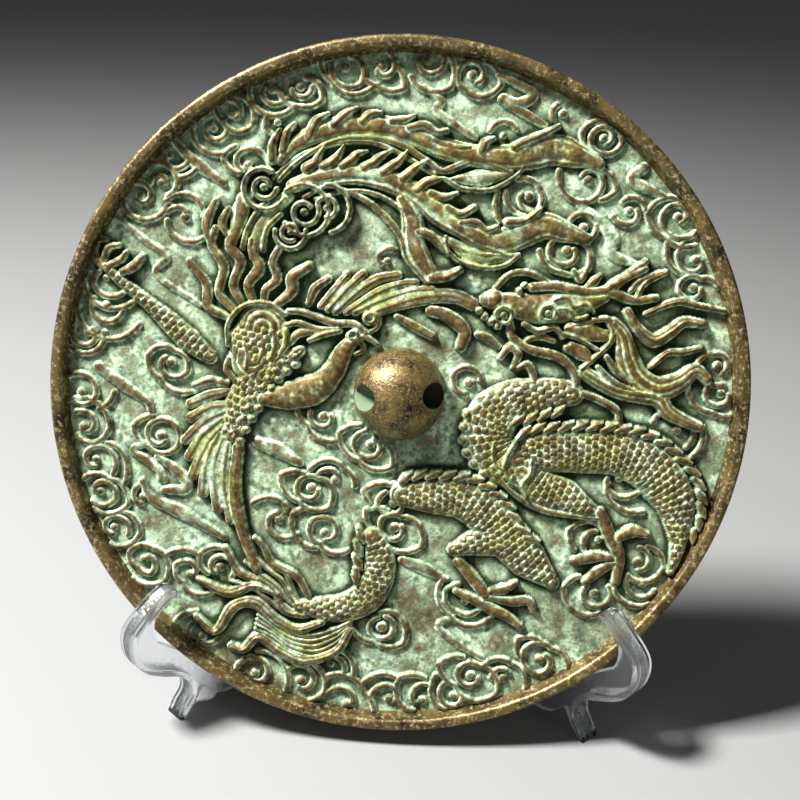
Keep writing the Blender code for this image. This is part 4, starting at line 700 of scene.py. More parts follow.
# Middle and radius of each boss, then its coils: first and last radius, first angle, and the angle it turns
CLOUDS = [
    # left side, from the top down
    (-33.1, 47.6, 0.75, [(0.8, 2.6, 120, 233), (3.6, 4.7, 172, 117)]),
    (-40.9, 42.8, 0.6, [(1.0, 3.4, 210, 133), (4.0, 5.2, 289, 46)]),
    (-42.7, 38.1, 0.8, [(1.9, 0.8, 183, -176), (3.6, 2.6, 109, -172)]),
    (-46.4, 35.8, 0.9, [(0.9, 2.5, 238, 230), (3.3, 5.2, 194, 150)]),
    (-38.4, 32.0, 0.9, [(3.4, 1.0, 163, -73), (4.5, 3.2, 138, -134), (3.4, 4.9, 190, 123)]),
    (-53.0, 21.2, 0.7, [(1.7, 4.1, 140, 182), (4.0, 6.6, 190, 133)]),
    (-53.2, 16.2, 0.85, [(2.6, 3.2, 149, 192), (5.2, 6.8, 179, 150)]),
    (-56.7, 11.3, 0.85, [(0.9, 3.1, 32, -191), (2.9, 4.3, 0, -140)]),
    (-58.4, 0.3, 0.85, [(3.7, 2.0, 124, -249), (6.2, 4.5, 0, -44)]),
    (-41.7, 5.8, 0.95, [(1.3, 3.5, 141, 190), (3.5, 2.2, 331, 99), (2.2, 4.4, 70, 95),
     (4.4, 3.6, 165, 70), (3.6, 7.5, 235, 90), (7.5, 11.0, 325, 16)]),
    (-58.0, -6.1, 0.95, [(1.1, 3.2, -63, 180), (5.6, 4.6, 121, -120), (4.7, 2.1, 1, -134)]),
    (-56.1, -12.2, 0.75, [(1.3, 2.4, -99, -171), (2.4, 4.2, 90, -132), (3.7, 7.0, 55, -99)]),
    (-55.5, -18.2, 0.8, [(0.8, 3.2, 166, -190), (3.2, 2.5, -24, -104), (3.8, 2.8, 141, -85),
     (2.8, 5.8, 56, -82), (5.8, 3.5, -26, -84)]),
    (-53.1, -25.0, 0.75, [(1.3, 2.0, -99, -174), (2.0, 3.0, 87, -115), (3.6, 5.0, 52, -64),
     (5.0, 3.5, -12, -92)]),
    (-43.9, -7.8, 0.95, [(1.2, 2.8, -55, -166), (2.8, 3.7, 139, -169), (3.7, 3.0, -30, -110),
     (3.0, 5.3, -140, -61), (5.3, 3.9, 159, -50)]),
    (-47.5, -19.2, 0.8, [(2.2, 1.3, 107, 150)]),
    (-47.6, -31.1, 0.8, [(0.9, 3.0, 32, -100), (3.0, 2.0, -68, -61), (2.0, 3.1, -129, -73),
     (3.1, 2.6, 158, -105), (2.6, 5.7, 53, -100), (5.7, 4.4, -47, -73)]),
    (-39.0, -34.0, 0.8, [(0.8, 3.3, 7, 140), (3.3, 2.1, 147, 80), (2.1, 5.2, 227, 92),
     (5.8, 4.1, 139, -67)]),
    (-33.5, -32.6, 0.9, [(1.4, 2.0, 225, -126), (2.0, 3.0, 99, -145), (2.6, 4.4, 208, -60),
     (4.4, 3.7, 148, -69)]),
    (-37.0, -46.0, 0.8, [(1.3, 2.8, -72, 60), (2.8, 3.1, 180, -53), (5.8, 4.9, 149, -47)]),
    # along the top, from left to right
    (-29.7, 50.2, 0.9, [(1.0, 2.5, -45, 149), (3.1, 4.2, 83, -115), (4.2, 2.0, -32, -110),
     (2.0, 2.9, -142, -54)]),
    (-22.5, 54.3, 0.8, [(1.4, 3.1, 159, 167), (4.0, 4.8, 170, 152)]),
    (-17.5, 54.8, 0.9, [(1.6, 2.2, 198, 162), (1.8, 4.5, 54, -85), (4.5, 3.4, -31, -59),
     (3.4, 4.0, -90, -90)]),
    (-9.5, 58.2, 0.9, [(2.3, 4.0, 173, 140), (4.0, 2.0, 313, 108), (4.4, 3.5, 170, 55),
     (3.5, 6.0, 225, 100)]),
    (-3.0, 58.2, 1.0, [(1.1, 2.8, 221, 204), (2.8, 5.4, -4, -40), (5.4, 3.4, -44, -60),
     (3.4, 3.8, -104, -46)]),
    (5.0, 59.2, 0.8, [(1.1, 3.3, 165, 209), (3.9, 6.2, 12, -60), (6.2, 4.0, -48, -88)]),
    (13.0, 56.7, 1.0, [(1.5, 2.5, -58, 170), (2.5, 3.0, 112, 135), (3.0, 5.3, 247, 95),
     (5.3, 3.3, 342, 63)]),
    (29.0, 50.0, 0.8, [(1.8, 2.0, 124, 93)]),
    (36.3, 45.8, 0.8, [(1.3, 2.0, -63, 192), (2.0, 3.4, 129, 215), (3.4, 2.6, 344, 66),
     (2.6, 4.0, 85, 80), (4.0, 3.4, 165, 72)]),
    # right side, from the top down
    (33.6, 38.5, 0.9, [(1.1, 2.9, 139, -166), (2.9, 5.4, -27, -171), (2.2, 5.5, 50, -71),
     (5.5, 4.2, -21, -35)]),
    (41.2, 33.0, 0.85, [(1.4, 3.1, 0, -161), (2.1, 2.8, 125, -119)]),
    (49.8, 32.0, 0.8, [(1.2, 2.1, -55, 153), (2.1, 2.8, 98, 82), (2.8, 4.4, 180, 143),
     (2.8, 5.5, 86, 88), (5.5, 4.2, 174, 66), (4.2, 6.1, 240, 62)]),
    (33.0, 30.0, 0.9, [(2.4, 2.0, 12, -149), (2.5, 2.7, 53, 105)]),
    (30.2, 26.0, 1.0, [(1.3, 3.3, 9, -162), (3.3, 3.2, -153, -66), (5.0, 4.0, 180, 75),
     (4.0, 5.0, 255, 65), (5.0, 2.5, 320, 95)]),
    (53.3, 24.2, 1.0, [(0.9, 3.9, -13, -217), (6.6, 3.6, 136, 82)]),
    (53.0, 19.3, 0.9, [(1.3, 2.7, -13, -157), (2.7, 2.1, -170, -135), (2.1, 4.5, 55, -52)]),
    (57.8, 5.3, 0.9, [(1.6, 2.2, -55, 166), (2.2, 3.8, 111, 65), (3.8, 3.6, 176, 112)]),
    (58.5, 0.2, 0.9, [(1.5, 2.8, -15, -139), (2.8, 2.7, -154, -62), (6.3, 3.8, 163, 84),
     (3.8, 4.6, 247, 48)]),
    (50.8, -6.5, 0.8, [(3.0, 3.7, 0, -63), (4.6, 4.5, 161, -25), (4.7, 5.7, 6, -68)]),
    (40.5, -15.4, 0.9, [(2.2, 5.0, 183, 170), (2.3, 7.8, 209, 96)]),
    (37.0, -27.0, 0.8, [(1.6, 3.5, 108, 115), (2.5, 5.8, 90, 73), (5.8, 5.0, 163, 43)]),
    (44.3, -31.4, 1.0, [(1.4, 2.9, -78, 164), (3.5, 5.0, 61, -71), (5.0, 3.0, -10, -117)]),
    (45.2, -35.4, 0.9, [(3.0, 2.7, 159, 170), (5.3, 4.1, 192, 96)]),
    (36.3, -37.2, 0.9, [(1.8, 3.3, 137, 213), (3.3, 3.0, 350, 34), (4.2, 5.8, 132, 39),
     (5.8, 4.0, 171, 117)]),
    # along the bottom, from right to left
    (26.5, -50.0, 0.9, [(1.2, 2.9, 31, -111), (2.9, 3.5, -80, -130), (3.5, 2.8, 150, -105),
     (2.8, 5.6, 45, -64), (3.4, 5.7, 90, 48), (5.7, 4.0, 138, 35)]),
    (19.5, -53.8, 0.9, [(1.4, 2.2, 36, 144), (4.4, 3.2, 148, -86), (3.2, 4.8, 62, -89)]),
    (13.5, -53.4, 1.0, [(1.5, 2.6, -23, -165), (2.6, 2.5, 172, -124), (2.5, 6.1, 48, -82),
     (6.1, 3.5, -34, -115), (3.5, 6.5, -149, -50), (6.5, 3.9, 161, -48)]),
    (10.3, -57.3, 0.85, [(1.5, 2.5, -8, -148), (2.5, 3.0, -156, -81), (5.2, 3.1, 130, 109)]),
    (4.3, -58.3, 0.9, [(1.4, 3.3, 201, -124), (4.3, 6.2, 83, 50), (6.2, 2.6, 133, 98)]),
    (-2.0, -58.0, 0.8, [(1.2, 3.4, -31, 198), (4.4, 5.7, 74, 73)]),
    (-10.0, -59.0, 0.8, [(1.2, 4.1, 20, 128), (6.5, 4.0, 124, -90), (4.0, 5.4, 34, -49)]),
    (-13.0, -51.2, 0.8, [(1.6, 3.3, 50, -90), (3.2, 5.0, 51, -82)]),
    (-18.5, -54.5, 1.0, [(1.4, 3.4, -102, 243), (3.9, 4.9, 50, -77), (4.9, 4.3, -27, -42)]),
    (-27.2, -53.2, 0.9, [(1.4, 3.2, -90, 176), (3.2, 3.7, 86, 80), (4.5, 6.7, 81, -111)]),
    (-3.3, -44.0, 1.1, [(1.9, 2.4, 112, 80), (2.4, 2.2, 192, 239), (2.8, 5.2, 94, -132),
     (5.2, 3.0, -38, -75), (3.0, 5.5, -113, -62)]),
    (12.3, -38.8, 0.9, [(3.3, 4.2, 113, 40), (4.2, 2.6, 153, 86), (2.6, 3.1, 239, 92),
     (5.8, 4.0, 138, 85), (4.0, 5.9, 223, 104)]),
    # between the knob and the figures below it
    (-16.2, -17.5, 1.0, [(1.3, 2.8, -23, -140), (2.8, 2.2, -163, -139), (2.2, 4.9, 58, -104),
     (4.9, 3.4, -46, -87), (3.4, 6.2, -133, -69), (6.2, 3.0, 158, -42)]),
    (-11.8, -15.9, 0.8, [(1.0, 3.3, 73, 90), (5.0, 3.4, 158, -65), (3.4, 2.5, 93, -40),
     (2.5, 3.8, 53, -73)]),
    (-13.8, -26.0, 0.85, [(1.3, 2.6, -77, 122), (2.6, 3.3, 45, 90), (3.3, 2.2, 135, 108),
     (2.2, 5.4, 243, 79), (6.2, 7.0, 132, 18), (7.0, 3.3, 150, 89)]),
    (-22.3, -23.5, 0.9, [(1.3, 2.0, 113, 81), (2.0, 4.3, 194, 126), (5.7, 2.2, 146, -101)]),
    (-13.8, -4.1, 1.0, [(1.3, 2.3, 4, -132), (2.3, 2.6, -128, -72), (5.0, 3.4, 168, 40),
     (3.4, 5.2, 208, 94)]),
    (-5.3, -9.3, 0.85, [(1.2, 2.4, 48, -112), (2.4, 3.1, -64, -129), (3.1, 2.6, 167, -56),
     (3.6, 5.8, -11, -35), (5.8, 3.6, -46, -81), (3.6, 6.1, -127, -72), (6.1, 4.0, 161, -41)]),
    (-1.0, -20.3, 0.95, [(1.4, 2.0, 4, -74), (2.0, 3.0, -70, -112), (3.0, 2.5, 178, -51),
     (4.4, 6.0, 183, -25), (6.0, 3.5, 158, -55), (3.5, 4.1, 103, -92)]),
    (-0.8, -24.9, 0.95, [(1.2, 2.4, 5, -104), (2.4, 2.9, -99, -122), (2.9, 2.3, 139, -83),
     (2.3, 6.1, 56, -90), (6.1, 4.0, -34, -73), (4.2, 6.3, 188, -40), (6.3, 3.4, 148, -37)]),
    # among the plumes and above the knob
    (-27.0, 41.0, 0.9, [(1.1, 2.6, 218, -78), (2.6, 3.9, 140, -158), (1.9, 4.8, 219, -60),
     (4.8, 4.1, 159, -35)]),
    (-21.6, 48.6, 0.7, [(2.2, 2.2, 150, 90)]),
    (-2.2, 24.2, 0.6, [(1.2, 2.4, 200, -150)]),
    (23.2, 35.5, 1.0, [(1.3, 2.5, 157, 127), (3.7, 2.1, 123, -94), (2.1, 2.7, 29, -77),
     (4.3, 3.4, 167, 91), (5.6, 6.7, 172, 48)]),
    (18.5, 46.2, 0.6, [(2.5, 2.5, 160, -130)]),
    (12.8, 2.0, 1.0, [(2.8, 3.4, 180, -35), (3.4, 2.2, 145, -132), (2.8, 2.1, 190, 58)]),
    (29.0, 0.0, 1.3, []),
]
KNOT_HALF_WIDTH = 0.55
KNOT_HEIGHT = 1.9
KNOT = [
    (-24.2, 37.3, 0.8, [(1.2, 2.3, 20, 330), (3.1, 4.2, 60, 270)]),
    (-17.0, 32.9, 0.8, [(1.4, 2.8, 40, 350), (4.0, 4.9, -150, 280)]),
    (-13.0, 33.6, 0.7, [(1.7, 1.8, -90, 240), (4.4, 4.0, -80, 170)]),
    (-19.6, 29.2, 0.6, [(1.4, 1.5, 0, 300), (2.7, 2.9, 170, 200)]),
]
CLOUD_TAILS = [
    ([(-40, 45.2), (-36.4, 41.6), (-31.4, 38)], [1.2, 2.0, 1.0], 0.6),
    ([(-50.6, 32), (-46, 28), (-42, 25), (-43.9, 21.8), (-36, 16.2)], [1.0, 1.1, 0.9], 0.5),
    ([(-55, 5), (-50.6, 1.6), (-46.4, -1.4), (-45.6, -3.2)], [1.6, 1.8, 1.0], 0.6),
    ([(-46.8, -9.2), (-49, -10.6), (-45, -13.6), (-43.8, -15.8)], [1.1, 1.5, 1.6], 0.6),
    ([(-44.6, -11.6), (-40, -15.4), (-39.6, -17.8), (-43.4, -17.9)], [1.2, 1.9, 1.3], 0.6),
    ([(-47.6, -16.2), (-46, -19.4), (-40, -22.4), (-32.6, -26.9)], [1.1, 2.2, 1.0], 0.7),
    ([(-26, -9), (-22, -10.6), (-18.4, -12.8)], [1.8, 2.4, 1.4], 0.6),
    ([(4.5, 54.6), (7.4, 52.4), (7, 50.2), (13.6, 45.8)], [1.1, 1.4, 1.0], 0.5),
    ([(17.6, 56.8), (23.6, 53.6), (21, 51.6), (18.6, 52.4), (26, 47.8)], [1.0, 1.9, 1.1], 0.7),
    ([(43.6, 40.6), (41.6, 38.6), (44.4, 36.8), (47.6, 35.4)], [1.6, 1.9, 0.9], 0.6),
    ([(32.4, 34), (38, 29), (38.2, 25.4), (43, 23.4)], [1.4, 2.2, 1.0], 0.5),
    ([(10, -42), (7.4, -43.8), (11, -47.2), (15.6, -50)], [1.1, 1.3, 1.0], 0.5),
    ([(0.6, -31), (4.4, -32.6), (8.8, -34.8)], [1.4, 2.0, 1.0], 0.6),
]

figures = height.copy()
for curls, half_width, top, power, boss_share in ((CLOUDS, CLOUD_HALF_WIDTH, CLOUD_HEIGHT, 0.45, 1.15),
                                                  (KNOT, KNOT_HALF_WIDTH, KNOT_HEIGHT, 0.5, 1.1)):
    for x, y, boss_radius, coils in curls:
        for measures in coils:
            raise_stroke(coil(x, y, *measures), [half_width], top, power)
        raise_boss(x, y, boss_radius, boss_share * top)
raise_strokes(CLOUD_TAILS, LINE_WIDTH, FEATHER_HEIGHT, 0.4)


# The field's patina: green powdery crust, palest on the flanks of the figures, brown bare bronze on the
# worn tops, and brown specks on the open ground, with painted shade darkening the feet of the figures and
# the hollows, all from the heights round each point.
EDGE_GREEN = (0.50, 0.70, 0.49)
PALE_GREEN = (0.40, 0.54, 0.36)
GREY_GREEN = (0.18, 0.24, 0.135)
# The darkest green is painted shade, for the feet of the figures and the hollows
PAINTED_SHADE = (0.016, 0.024, 0.007)
VERDIGRIS = (0.27, 0.33, 0.085)
BARE_BROWN = (0.100, 0.055, 0.015)
GROUND_BROWN = (0.075, 0.055, 0.024)

frequency = np.fft.fftfreq(len(ruler), GRID_PITCH)
frequency_squared = frequency[:, None]**2 + frequency[None, :]**2
chance = np.random.default_rng(7)


def soften(field, radius):
    """Gaussian blur of a grid: its spectrum times exp(-2 (pi radius frequency)^2)."""
    return np.fft.ifft2(np.fft.fft2(field) * np.exp(-2 * (np.pi * radius)**2 * frequency_squared)).real


def mottle(size):
    """Even random blotches of that size in millimetres, with mean 0 and spread 1."""
    blotches = soften(chance.standard_normal(height.shape), size)
    return blotches / blotches.std()


def ease(field, low, high):
    """0 below low, 1 above high, and a smooth step 3 s^2 - 2 s^3 between."""
    s = np.clip((field - low) / (high - low), 0, 1)
    return s * s * (3 - 2 * s)


def blend(first, second, share):
    """Colours mixed by a share for each point."""
    return first + (np.asarray(second) - first) * share[..., None]


distance = np.hypot(ruler[None, :], ruler[:, None])
height += 0.035 * mottle(1.1) + 0.012 * mottle(0.25)
height *= np.clip((FIELD_RADIUS + RIM_FADE - distance) / (2 * RIM_FADE), 0, 1)
crest = height - soften(height, 0.7)
crowd = soften(height, 2.2)
near_figures = soften(ease(figures, 0.3, 0.6), 1.3)
grain = mottle(0.25)
slope_y, slope_x = np.gradient(height, GRID_PITCH)
slope = np.hypot(slope_y, slope_x)
groove = ease(soften(height, 0.32) - height, -0.02, 0.05)
# Worn bare: crests, and all that stands high, but less in grooves and on steep flanks
worn = ease(crest + 0.05 * mottle(0.9) + 0.03 * grain, 0.05, 0.20) * ease(height, 0.35, 0.7)
worn = np.maximum(worn, ease(height + 0.2 * mottle(1.6) + 0.12 * grain, 0.8, 1.3) * (1 - groove))
worn *= 1 - 0.6 * groove
worn *= 1 - 0.75 * ease(slope + 0.25 * mottle(0.6), 0.9, 1.9)
# Painted shade in the hollows below the crests
hollow_shade = ease(-crest + 0.03 * mottle(0.3), 0.05, 0.35)
open_ground = ease(0.42 - crowd + 0.06 * mottle(2.0), 0.05, 0.3) * ease(0.3 - height, 0.0, 0.2)
# Crust over all: grey green to pale green, yellower near the figures, with brown specks on low ground
crust = ease(mottle(0.7) + 0.9 * grain, -2.0, 2.0)
patina_and_shade = blend(np.broadcast_to(np.array(GREY_GREEN), (*height.shape, 3)), PALE_GREEN, crust)
patina_and_shade = blend(patina_and_shade, VERDIGRIS, 0.75 * near_figures * ease(mottle(1.0), -0.8, 1.2))
specks = ease(0.8 * mottle(1.6) + 0.5 * mottle(0.6) + 0.9 * grain, -0.7, 1.6)
patina_and_shade = blend(patina_and_shade, GROUND_BROWN, specks * (0.35 + 0.55 * open_ground) * ease(0.4 - height, 0.0, 0.3))
# Palest on the flanks, painted shade at the feet of the figures and in hollows, bare bronze on top of all
# that
flank = ease(slope + 0.2 * mottle(0.5), 0.35, 1.0) * (1 - 0.5 * near_figures)
patina_and_shade = blend(patina_and_shade, EDGE_GREEN, 0.65 * flank * ease(mottle(0.9) + grain, -1.5, 1.2))
# Painted shade: near black where the ground lies below its softened surroundings, at the feet of the
# figures
foot = ease(soften(height, 1.1) - height - 0.10 + 0.05 * grain, 0.0, 0.42)
patina_and_shade = blend(patina_and_shade, PAINTED_SHADE, np.maximum(0.45 * hollow_shade, foot))
patina_and_shade = blend(patina_and_shade, BARE_BROWN, 0.92 * worn)
patina_and_shade *= np.exp(0.24 * grain + 0.10 * mottle(0.5))[..., None]
bare = np.clip(worn, 0, 1)


def patina_bronze():
    """Bronze under patina and painted shade: colour and bareness come from the points, fine grain from
    noise.
    """
    material, tree, shader = new_material("bronze under green patina")
    set_inputs(shader, Specular_IOR_Level=0.2)
    colour = add_node(tree, "Attribute")
    colour.attribute_name = "patina_and_shade"
    bareness = add_node(tree, "Attribute")
    bareness.attribute_name = "bare"
    place = add_node(tree, "TexCoord")
    speckle = add_node(tree, "TexNoise", Scale=2600, Detail=3)
    tone = add_node(tree, "MapRange", From_Min=0.3, From_Max=0.7, To_Min=0.65, To_Max=1.35)
    shade = add_node(tree, "Mix")
    shade.data_type = "RGBA"
    shade.blend_type = "MULTIPLY"
    set_inputs(shade, Factor=1.0)
    metal = add_node(tree, "MapRange", To_Max=0.3)
    gloss = add_node(tree, "MapRange", To_Min=0.78, To_Max=0.45)
    join(tree,
         (place, "Object", speckle, "Vector"),
         (speckle, "Fac", tone, "Value"),
         (colour, "Color", shade, "A"),
         (tone, "Result", shade, "B"),
         (shade, "Result", shader, "Base Color"),
         (bareness, "Fac", metal, "Value"),
         (bareness, "Fac", gloss, "Value"),
         (metal, "Result", shader, "Metallic"),
         (gloss, "Result", shader, "Roughness"))
    return material


def field_tile(name, rows, columns, material):
    """One quarter of the field: the grid's squares that lie wholly inside the rim, with their colours,
    how bare they are, and normals from the whole grid, so that no seam shows between quarters."""
    x, y = np.broadcast_arrays(ruler[columns][None, :], ruler[rows][:, None])
    places = np.stack([x, y, height[rows, columns]], axis=-1).reshape(-1, 3)
    inside = (distance[rows, columns] < FIELD_RADIUS + FIELD_OVERLAP).ravel()
    faces = grid_faces(*x.shape)
    faces = faces[inside[faces].all(1)]
    used = np.unique(faces)
    number = np.zeros(len(places), dtype=int)
    number[used] = np.arange(len(used))
    tile = smooth_piece(name, standing(places[used]), number[faces], material)
    colours = np.ones((len(used), 4))
    colours[:, :3] = patina_and_shade[rows, columns].reshape(-1, 3)[used]
    tile.data.attributes.new("patina_and_shade", "FLOAT_COLOR", "POINT").data.foreach_set("color", colours.ravel())
    share = tile.data.attributes.new("bare", "FLOAT", "POINT")
    share.data.foreach_set("value", bare[rows, columns].ravel()[used])
    flat = np.stack([-slope_x, -slope_y, np.ones_like(height)], axis=-1)[rows, columns].reshape(-1, 3)[used]
    upright = flat @ np.array(POSE.to_3x3()).T
    tile.data.normals_split_custom_set_from_vertices(upright / np.linalg.norm(upright, axis=1)[:, None])
    return tile


# The field's colour holds the patina and the painted shade at the feet of the figures
crust_and_shade = patina_bronze()
lower, upper = slice(0, GRID_REACH + 1), slice(GRID_REACH, 2 * GRID_REACH + 1)
for name, rows, columns in (("field_lower_left", lower, lower), ("field_lower_right", lower, upper),
                            ("field_upper_left", upper, lower), ("field_upper_right", upper, upper)):
    tile = field_tile(name, rows, columns, crust_and_shade)
    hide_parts("mirror")
    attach(tile, "root")


# The cradle: two mirrored halves of clear moulded plastic. Each is one upright plate, frosted on its faces,
# with a smooth clear band along its scrolled front edge; they meet behind the mirror at a flat seam.
WEB_THICKNESS = 2.2
WEB_EDGE = 0.25
BAND_WIDTH = 4.4
BAND_THICKNESS = 1.2
BAND_EDGE = 0.4
CRADLE_OPENING = math.radians(45.0)
SEAT_HEIGHT = 16.5
SEAT_BACK = 10.2
POST_HEIGHT = 75.0
POST_DEPTH = 9.0
POST_CORNER = 3.0
REAR_FOOT_LENGTH = 8.0
REAR_FOOT_RISE = 5.0
SEAM_HEIGHT = 34.0
SEAM_GAP = 0.3
SEAM_THICKNESS = 2.0
SLOT_GAP = 0.95
SEAT_ROUNDS = 20
# Front edge, foot and inside of the hook: back from the bulge, and up from the floor
FRONT_EDGE = [(10.2, 28.6), (8.4, 28.9), (6.2, 27.8), (4.0, 26.2), (1.8, 24.4), (0.3, 22.4), (0.0, 19.6),
              (0.8, 16.4), (2.8, 13.8), (6.0, 11.8), (9.6, 10.0), (12.0, 7.4), (12.2, 4.6), (10.6, 2.4),
              (9.4, 0.0)]
FOOT_EDGE = [(11.8, 0.0), (13.6, 1.6), (14.8, 3.6), (15.6, 4.4), (16.6, 3.6), (18.4, 1.8), (20.6, 0.9),
             (22.8, 0.8), (24.8, 1.6), (27.6, 4.4), (33.0, 6.4), (46.0, 7.0)]
HOOK_EDGE = [(6.0, 18.9), (5.4, 20.9), (5.4, 23.2), (6.6, 25.0), (8.2, 26.4)]

lift = POSE.translation.z / MILLIMETRE
seat_down = (SEAT_HEIGHT - lift) / math.cos(LEAN)
bulge_x = math.sqrt(DISC_RADIUS**2 - seat_down**2) + SEAT_BACK * math.cos(CRADLE_OPENING)
bulge_y = seat_down * math.sin(LEAN) - SEAT_BACK * math.sin(CRADLE_OPENING)
seam = (bulge_x - SEAM_GAP / 2 - SEAM_THICKNESS / 2) / math.cos(CRADLE_OPENING)


def plate_place(up, out):
    """How far back along the plate the height up meets the plane that lies out in front of the field."""
    y = ((up - lift) * math.sin(LEAN) - out) / math.cos(LEAN)
    return (y - bulge_y) / math.sin(CRADLE_OPENING)


def seat_curve(samples):
    """Where the plate meets the disc's edge, grown by the gap, from behind the disc to in front of it. How
    far out and how far down that is depend on each other, so they are worked out in rounds."""
    reach = DISC_RADIUS + SLOT_GAP
    out = np.linspace(-GROUND_THICKNESS - SLOT_GAP, RIM_HEIGHT + SLOT_GAP, samples)
    x = np.full(samples, bulge_x)
    for _ in range(SEAT_ROUNDS):
        down = -np.sqrt(reach**2 - x**2)
        y = down * math.sin(LEAN) - out * math.cos(LEAN)
        x = bulge_x - (y - bulge_y) / math.tan(CRADLE_OPENING)
    up = lift + down * math.cos(LEAN) + out * math.sin(LEAN)
    return np.column_stack([(y - bulge_y) / math.sin(CRADLE_OPENING), up])


def web_outline():
    """Closed outline of the plate: front edge, foot, rear foot, seam, post, slot for the disc, hook."""
    post = plate_place(POST_HEIGHT, -GROUND_THICKNESS - SLOT_GAP)
    rear = [(seam - REAR_FOOT_LENGTH - REAR_FOOT_RISE, REAR_FOOT_RISE), (seam - REAR_FOOT_LENGTH, 0),
            (seam, 0)]
    top = [(seam, SEAM_HEIGHT), (post + POST_DEPTH, POST_HEIGHT - POST_CORNER),
           (post + POST_DEPTH - POST_CORNER, POST_HEIGHT), (post, POST_HEIGHT)]
    hook = smooth_line(HOOK_EDGE, 6)
    seat = seat_curve(12)
    hook = hook[hook[:, 0] < plate_place(hook[:, 1], RIM_HEIGHT + SLOT_GAP)]
    return np.vstack([smooth_line(FRONT_EDGE, 10), FOOT_EDGE, rear, top, seat, hook])


def band_outline():
    """Closed outline of the band: the front edge, then that line moved inwards by the band's thickness."""
    edge = smooth_line(FRONT_EDGE, 10)
    run = np.gradient(edge, axis=0)
    run /= np.linalg.norm(run, axis=1)[:, None]
    inner = edge + BAND_THICKNESS * np.column_stack([-run[:, 1], run[:, 0]])
    inner[:, 1] = np.maximum(inner[:, 1], 0)
    return np.vstack([edge, inner[::-1]])


def moulded(name, outline, thickness, side, bevel, material):
    """An outline in the plate's plane, made evenly thick on its side of the cradle, with eased edges."""
    along = np.array([-side * math.cos(CRADLE_OPENING), math.sin(CRADLE_OPENING)])
    square = np.array([along[1], -along[0]])
    flat = np.array([side * bulge_x, bulge_y]) + outline[:, :1] * along
    layers = [np.column_stack([flat + shift * square, outline[:, 1]])
              for shift in (-thickness / 2, thickness / 2)]
    places = np.vstack(layers) * MILLIMETRE + np.array([0, POSE.translation.y, 0])
    count = len(outline)
    here = np.arange(count)
    after = (here + 1) % count
    walls = np.column_stack([here, after, after + count, here + count]).tolist()
    faces = walls + [here[::-1].tolist(), (here + count).tolist()]
    mesh = bpy.data.meshes.new(name)
    mesh.from_pydata(places.tolist(), [], faces)
    mesh.materials.append(material)
    piece = in_scene(name, mesh)
    bpy.context.view_layer.objects.active = piece
    bpy.ops.object.mode_set(mode="EDIT")
    bpy.ops.mesh.select_all(action="SELECT")
    bpy.ops.mesh.normals_make_consistent(inside=False)
    bpy.ops.object.mode_set(mode="OBJECT")
    mesh.shade_smooth()
    ease_edges = piece.modifiers.new("eased edges", "BEVEL")
    ease_edges.width = bevel * MILLIMETRE
    ease_edges.segments = 3
    ease_edges.limit_method = "ANGLE"
    ease_edges.angle_limit = math.radians(50)
    ease_edges.harden_normals = True
    return piece


def clear_plastic(name, roughness, pebbles):
    """See-through plastic by plain shader values, with a pebbled skin where it is frosted."""
    material, tree, shader = new_material(name)
    set_inputs(shader, Base_Color=(0.93, 0.95, 0.96, 1), Transmission_Weight=1.0, IOR=1.49,
               Roughness=roughness)
    if pebbles:
        place = add_node(tree, "TexCoord")
        skin = add_node(tree, "TexVoronoi", Scale=1 / (0.9 * MILLIMETRE))
        bump = add_node(tree, "Bump", Strength=0.5, Distance=0.15 * MILLIMETRE)
        join(tree,
             (place, "Object", skin, "Vector"),
             (skin, "Distance", bump, "Height"),
             (bump, "Normal", shader, "Normal"))
    return material


frosted = clear_plastic("frosted clear plastic", roughness=0.28, pebbles=True)
polished = clear_plastic("polished clear plastic", roughness=0.06, pebbles=False)
for side, word in ((-1, "left"), (1, "right")):
    web = moulded("cradle_plate_" + word, web_outline(), WEB_THICKNESS, side, WEB_EDGE, frosted)
    band = moulded("cradle_band_" + word, band_outline(), BAND_WIDTH, side, BAND_EDGE, polished)
    for piece in (web, band):
        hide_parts("stand_" + word)
        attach(piece, "root")


# The surroundings: a plain pale floor, a large soft light high on the left, a weak one on the right, and
# the camera in front of the mirror, a little above its normal, level with the pattern.
CAMERA_DISTANCE = 205.0
CAMERA_ABOVE = math.radians(6.72)
CAMERA_RIGHT = math.radians(0.94)
AIM = (0.155, -1.13, 0.0)
FOCAL_PIXELS = 1119.5
IMAGE_PIXELS = 800
FLOOR_REACH = 30.0

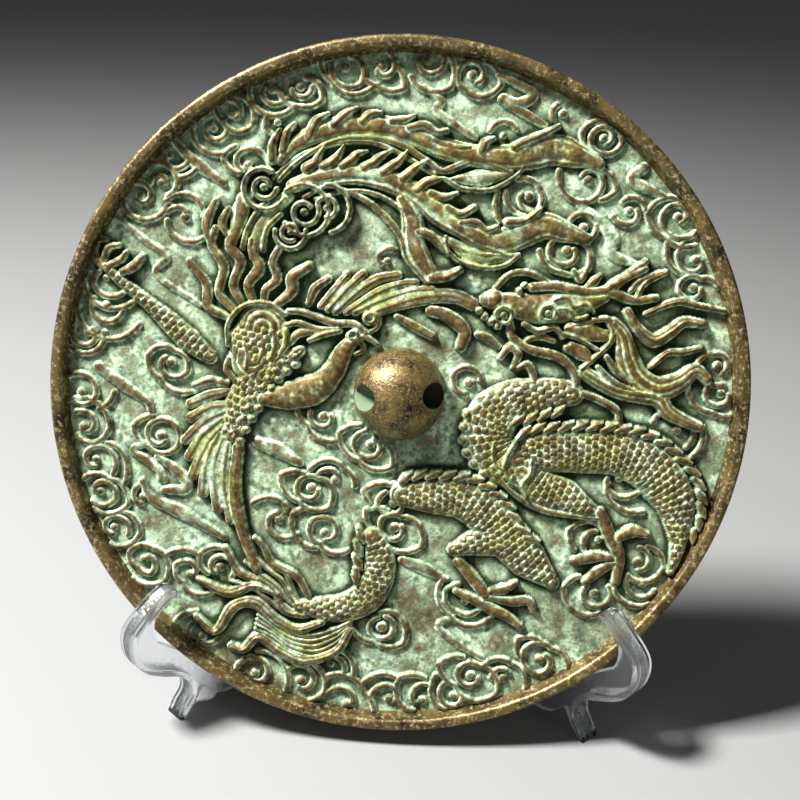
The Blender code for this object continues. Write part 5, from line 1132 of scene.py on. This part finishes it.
floor_mesh = bpy.data.meshes.new("floor")
floor_corners = [(-FLOOR_REACH, -FLOOR_REACH, 0), (FLOOR_REACH, -FLOOR_REACH, 0),
                 (FLOOR_REACH, FLOOR_REACH, 0), (-FLOOR_REACH, FLOOR_REACH, 0)]
floor_mesh.from_pydata(floor_corners, [], [(0, 1, 2, 3)])
pale, _, pale_shader = new_material("pale floor")
set_inputs(pale_shader, Base_Color=(0.23, 0.23, 0.225, 1), Roughness=0.7)
floor_mesh.materials.append(pale)
in_scene("floor", floor_mesh)

world = bpy.data.worlds.new("studio")
bpy.context.scene.world = world
world.use_nodes = True
set_inputs(world.node_tree.nodes["Background"], Color=(0.80, 0.82, 0.85, 1), Strength=0.11)


def soft_light(name, place, size, watts):
    """A square light at a place in metres, facing the middle of the disc."""
    lamp = bpy.data.lights.new(name, "AREA")
    lamp.size = size
    lamp.energy = watts
    light = in_scene(name, lamp)
    light.location = place
    light.rotation_euler = (POSE.translation - Vector(place)).to_track_quat("-Z", "Y").to_euler()


soft_light("key", (-0.36, -0.11, 0.62), size=0.13, watts=19.5)
soft_light("fill", (0.55, -0.6, 0.35), size=0.6, watts=0.7)

across = CAMERA_DISTANCE * math.sin(CAMERA_RIGHT) * math.cos(CAMERA_ABOVE)
above = CAMERA_DISTANCE * math.sin(CAMERA_ABOVE)
ahead = CAMERA_DISTANCE * math.cos(CAMERA_ABOVE) * math.cos(CAMERA_RIGHT)
eye = POSE @ (Vector((across, above, ahead)) * MILLIMETRE)
target = POSE @ (Vector(AIM) * MILLIMETRE)
back = (eye - target).normalized()
right = (POSE.to_3x3() @ Vector((0, 1, 0))).cross(back).normalized()
turned_axes = Matrix((right, back.cross(right), back)).transposed()
camera_data = bpy.data.cameras.new("camera")
camera_data.sensor_width = 36.0
camera_data.lens = FOCAL_PIXELS / IMAGE_PIXELS * camera_data.sensor_width
camera_data.clip_start = 0.01
camera = in_scene("camera", camera_data)
camera.matrix_world = Matrix.Translation(eye) @ turned_axes.to_4x4()
bpy.context.scene.camera = camera
bpy.context.scene.view_settings.view_transform = "Standard"
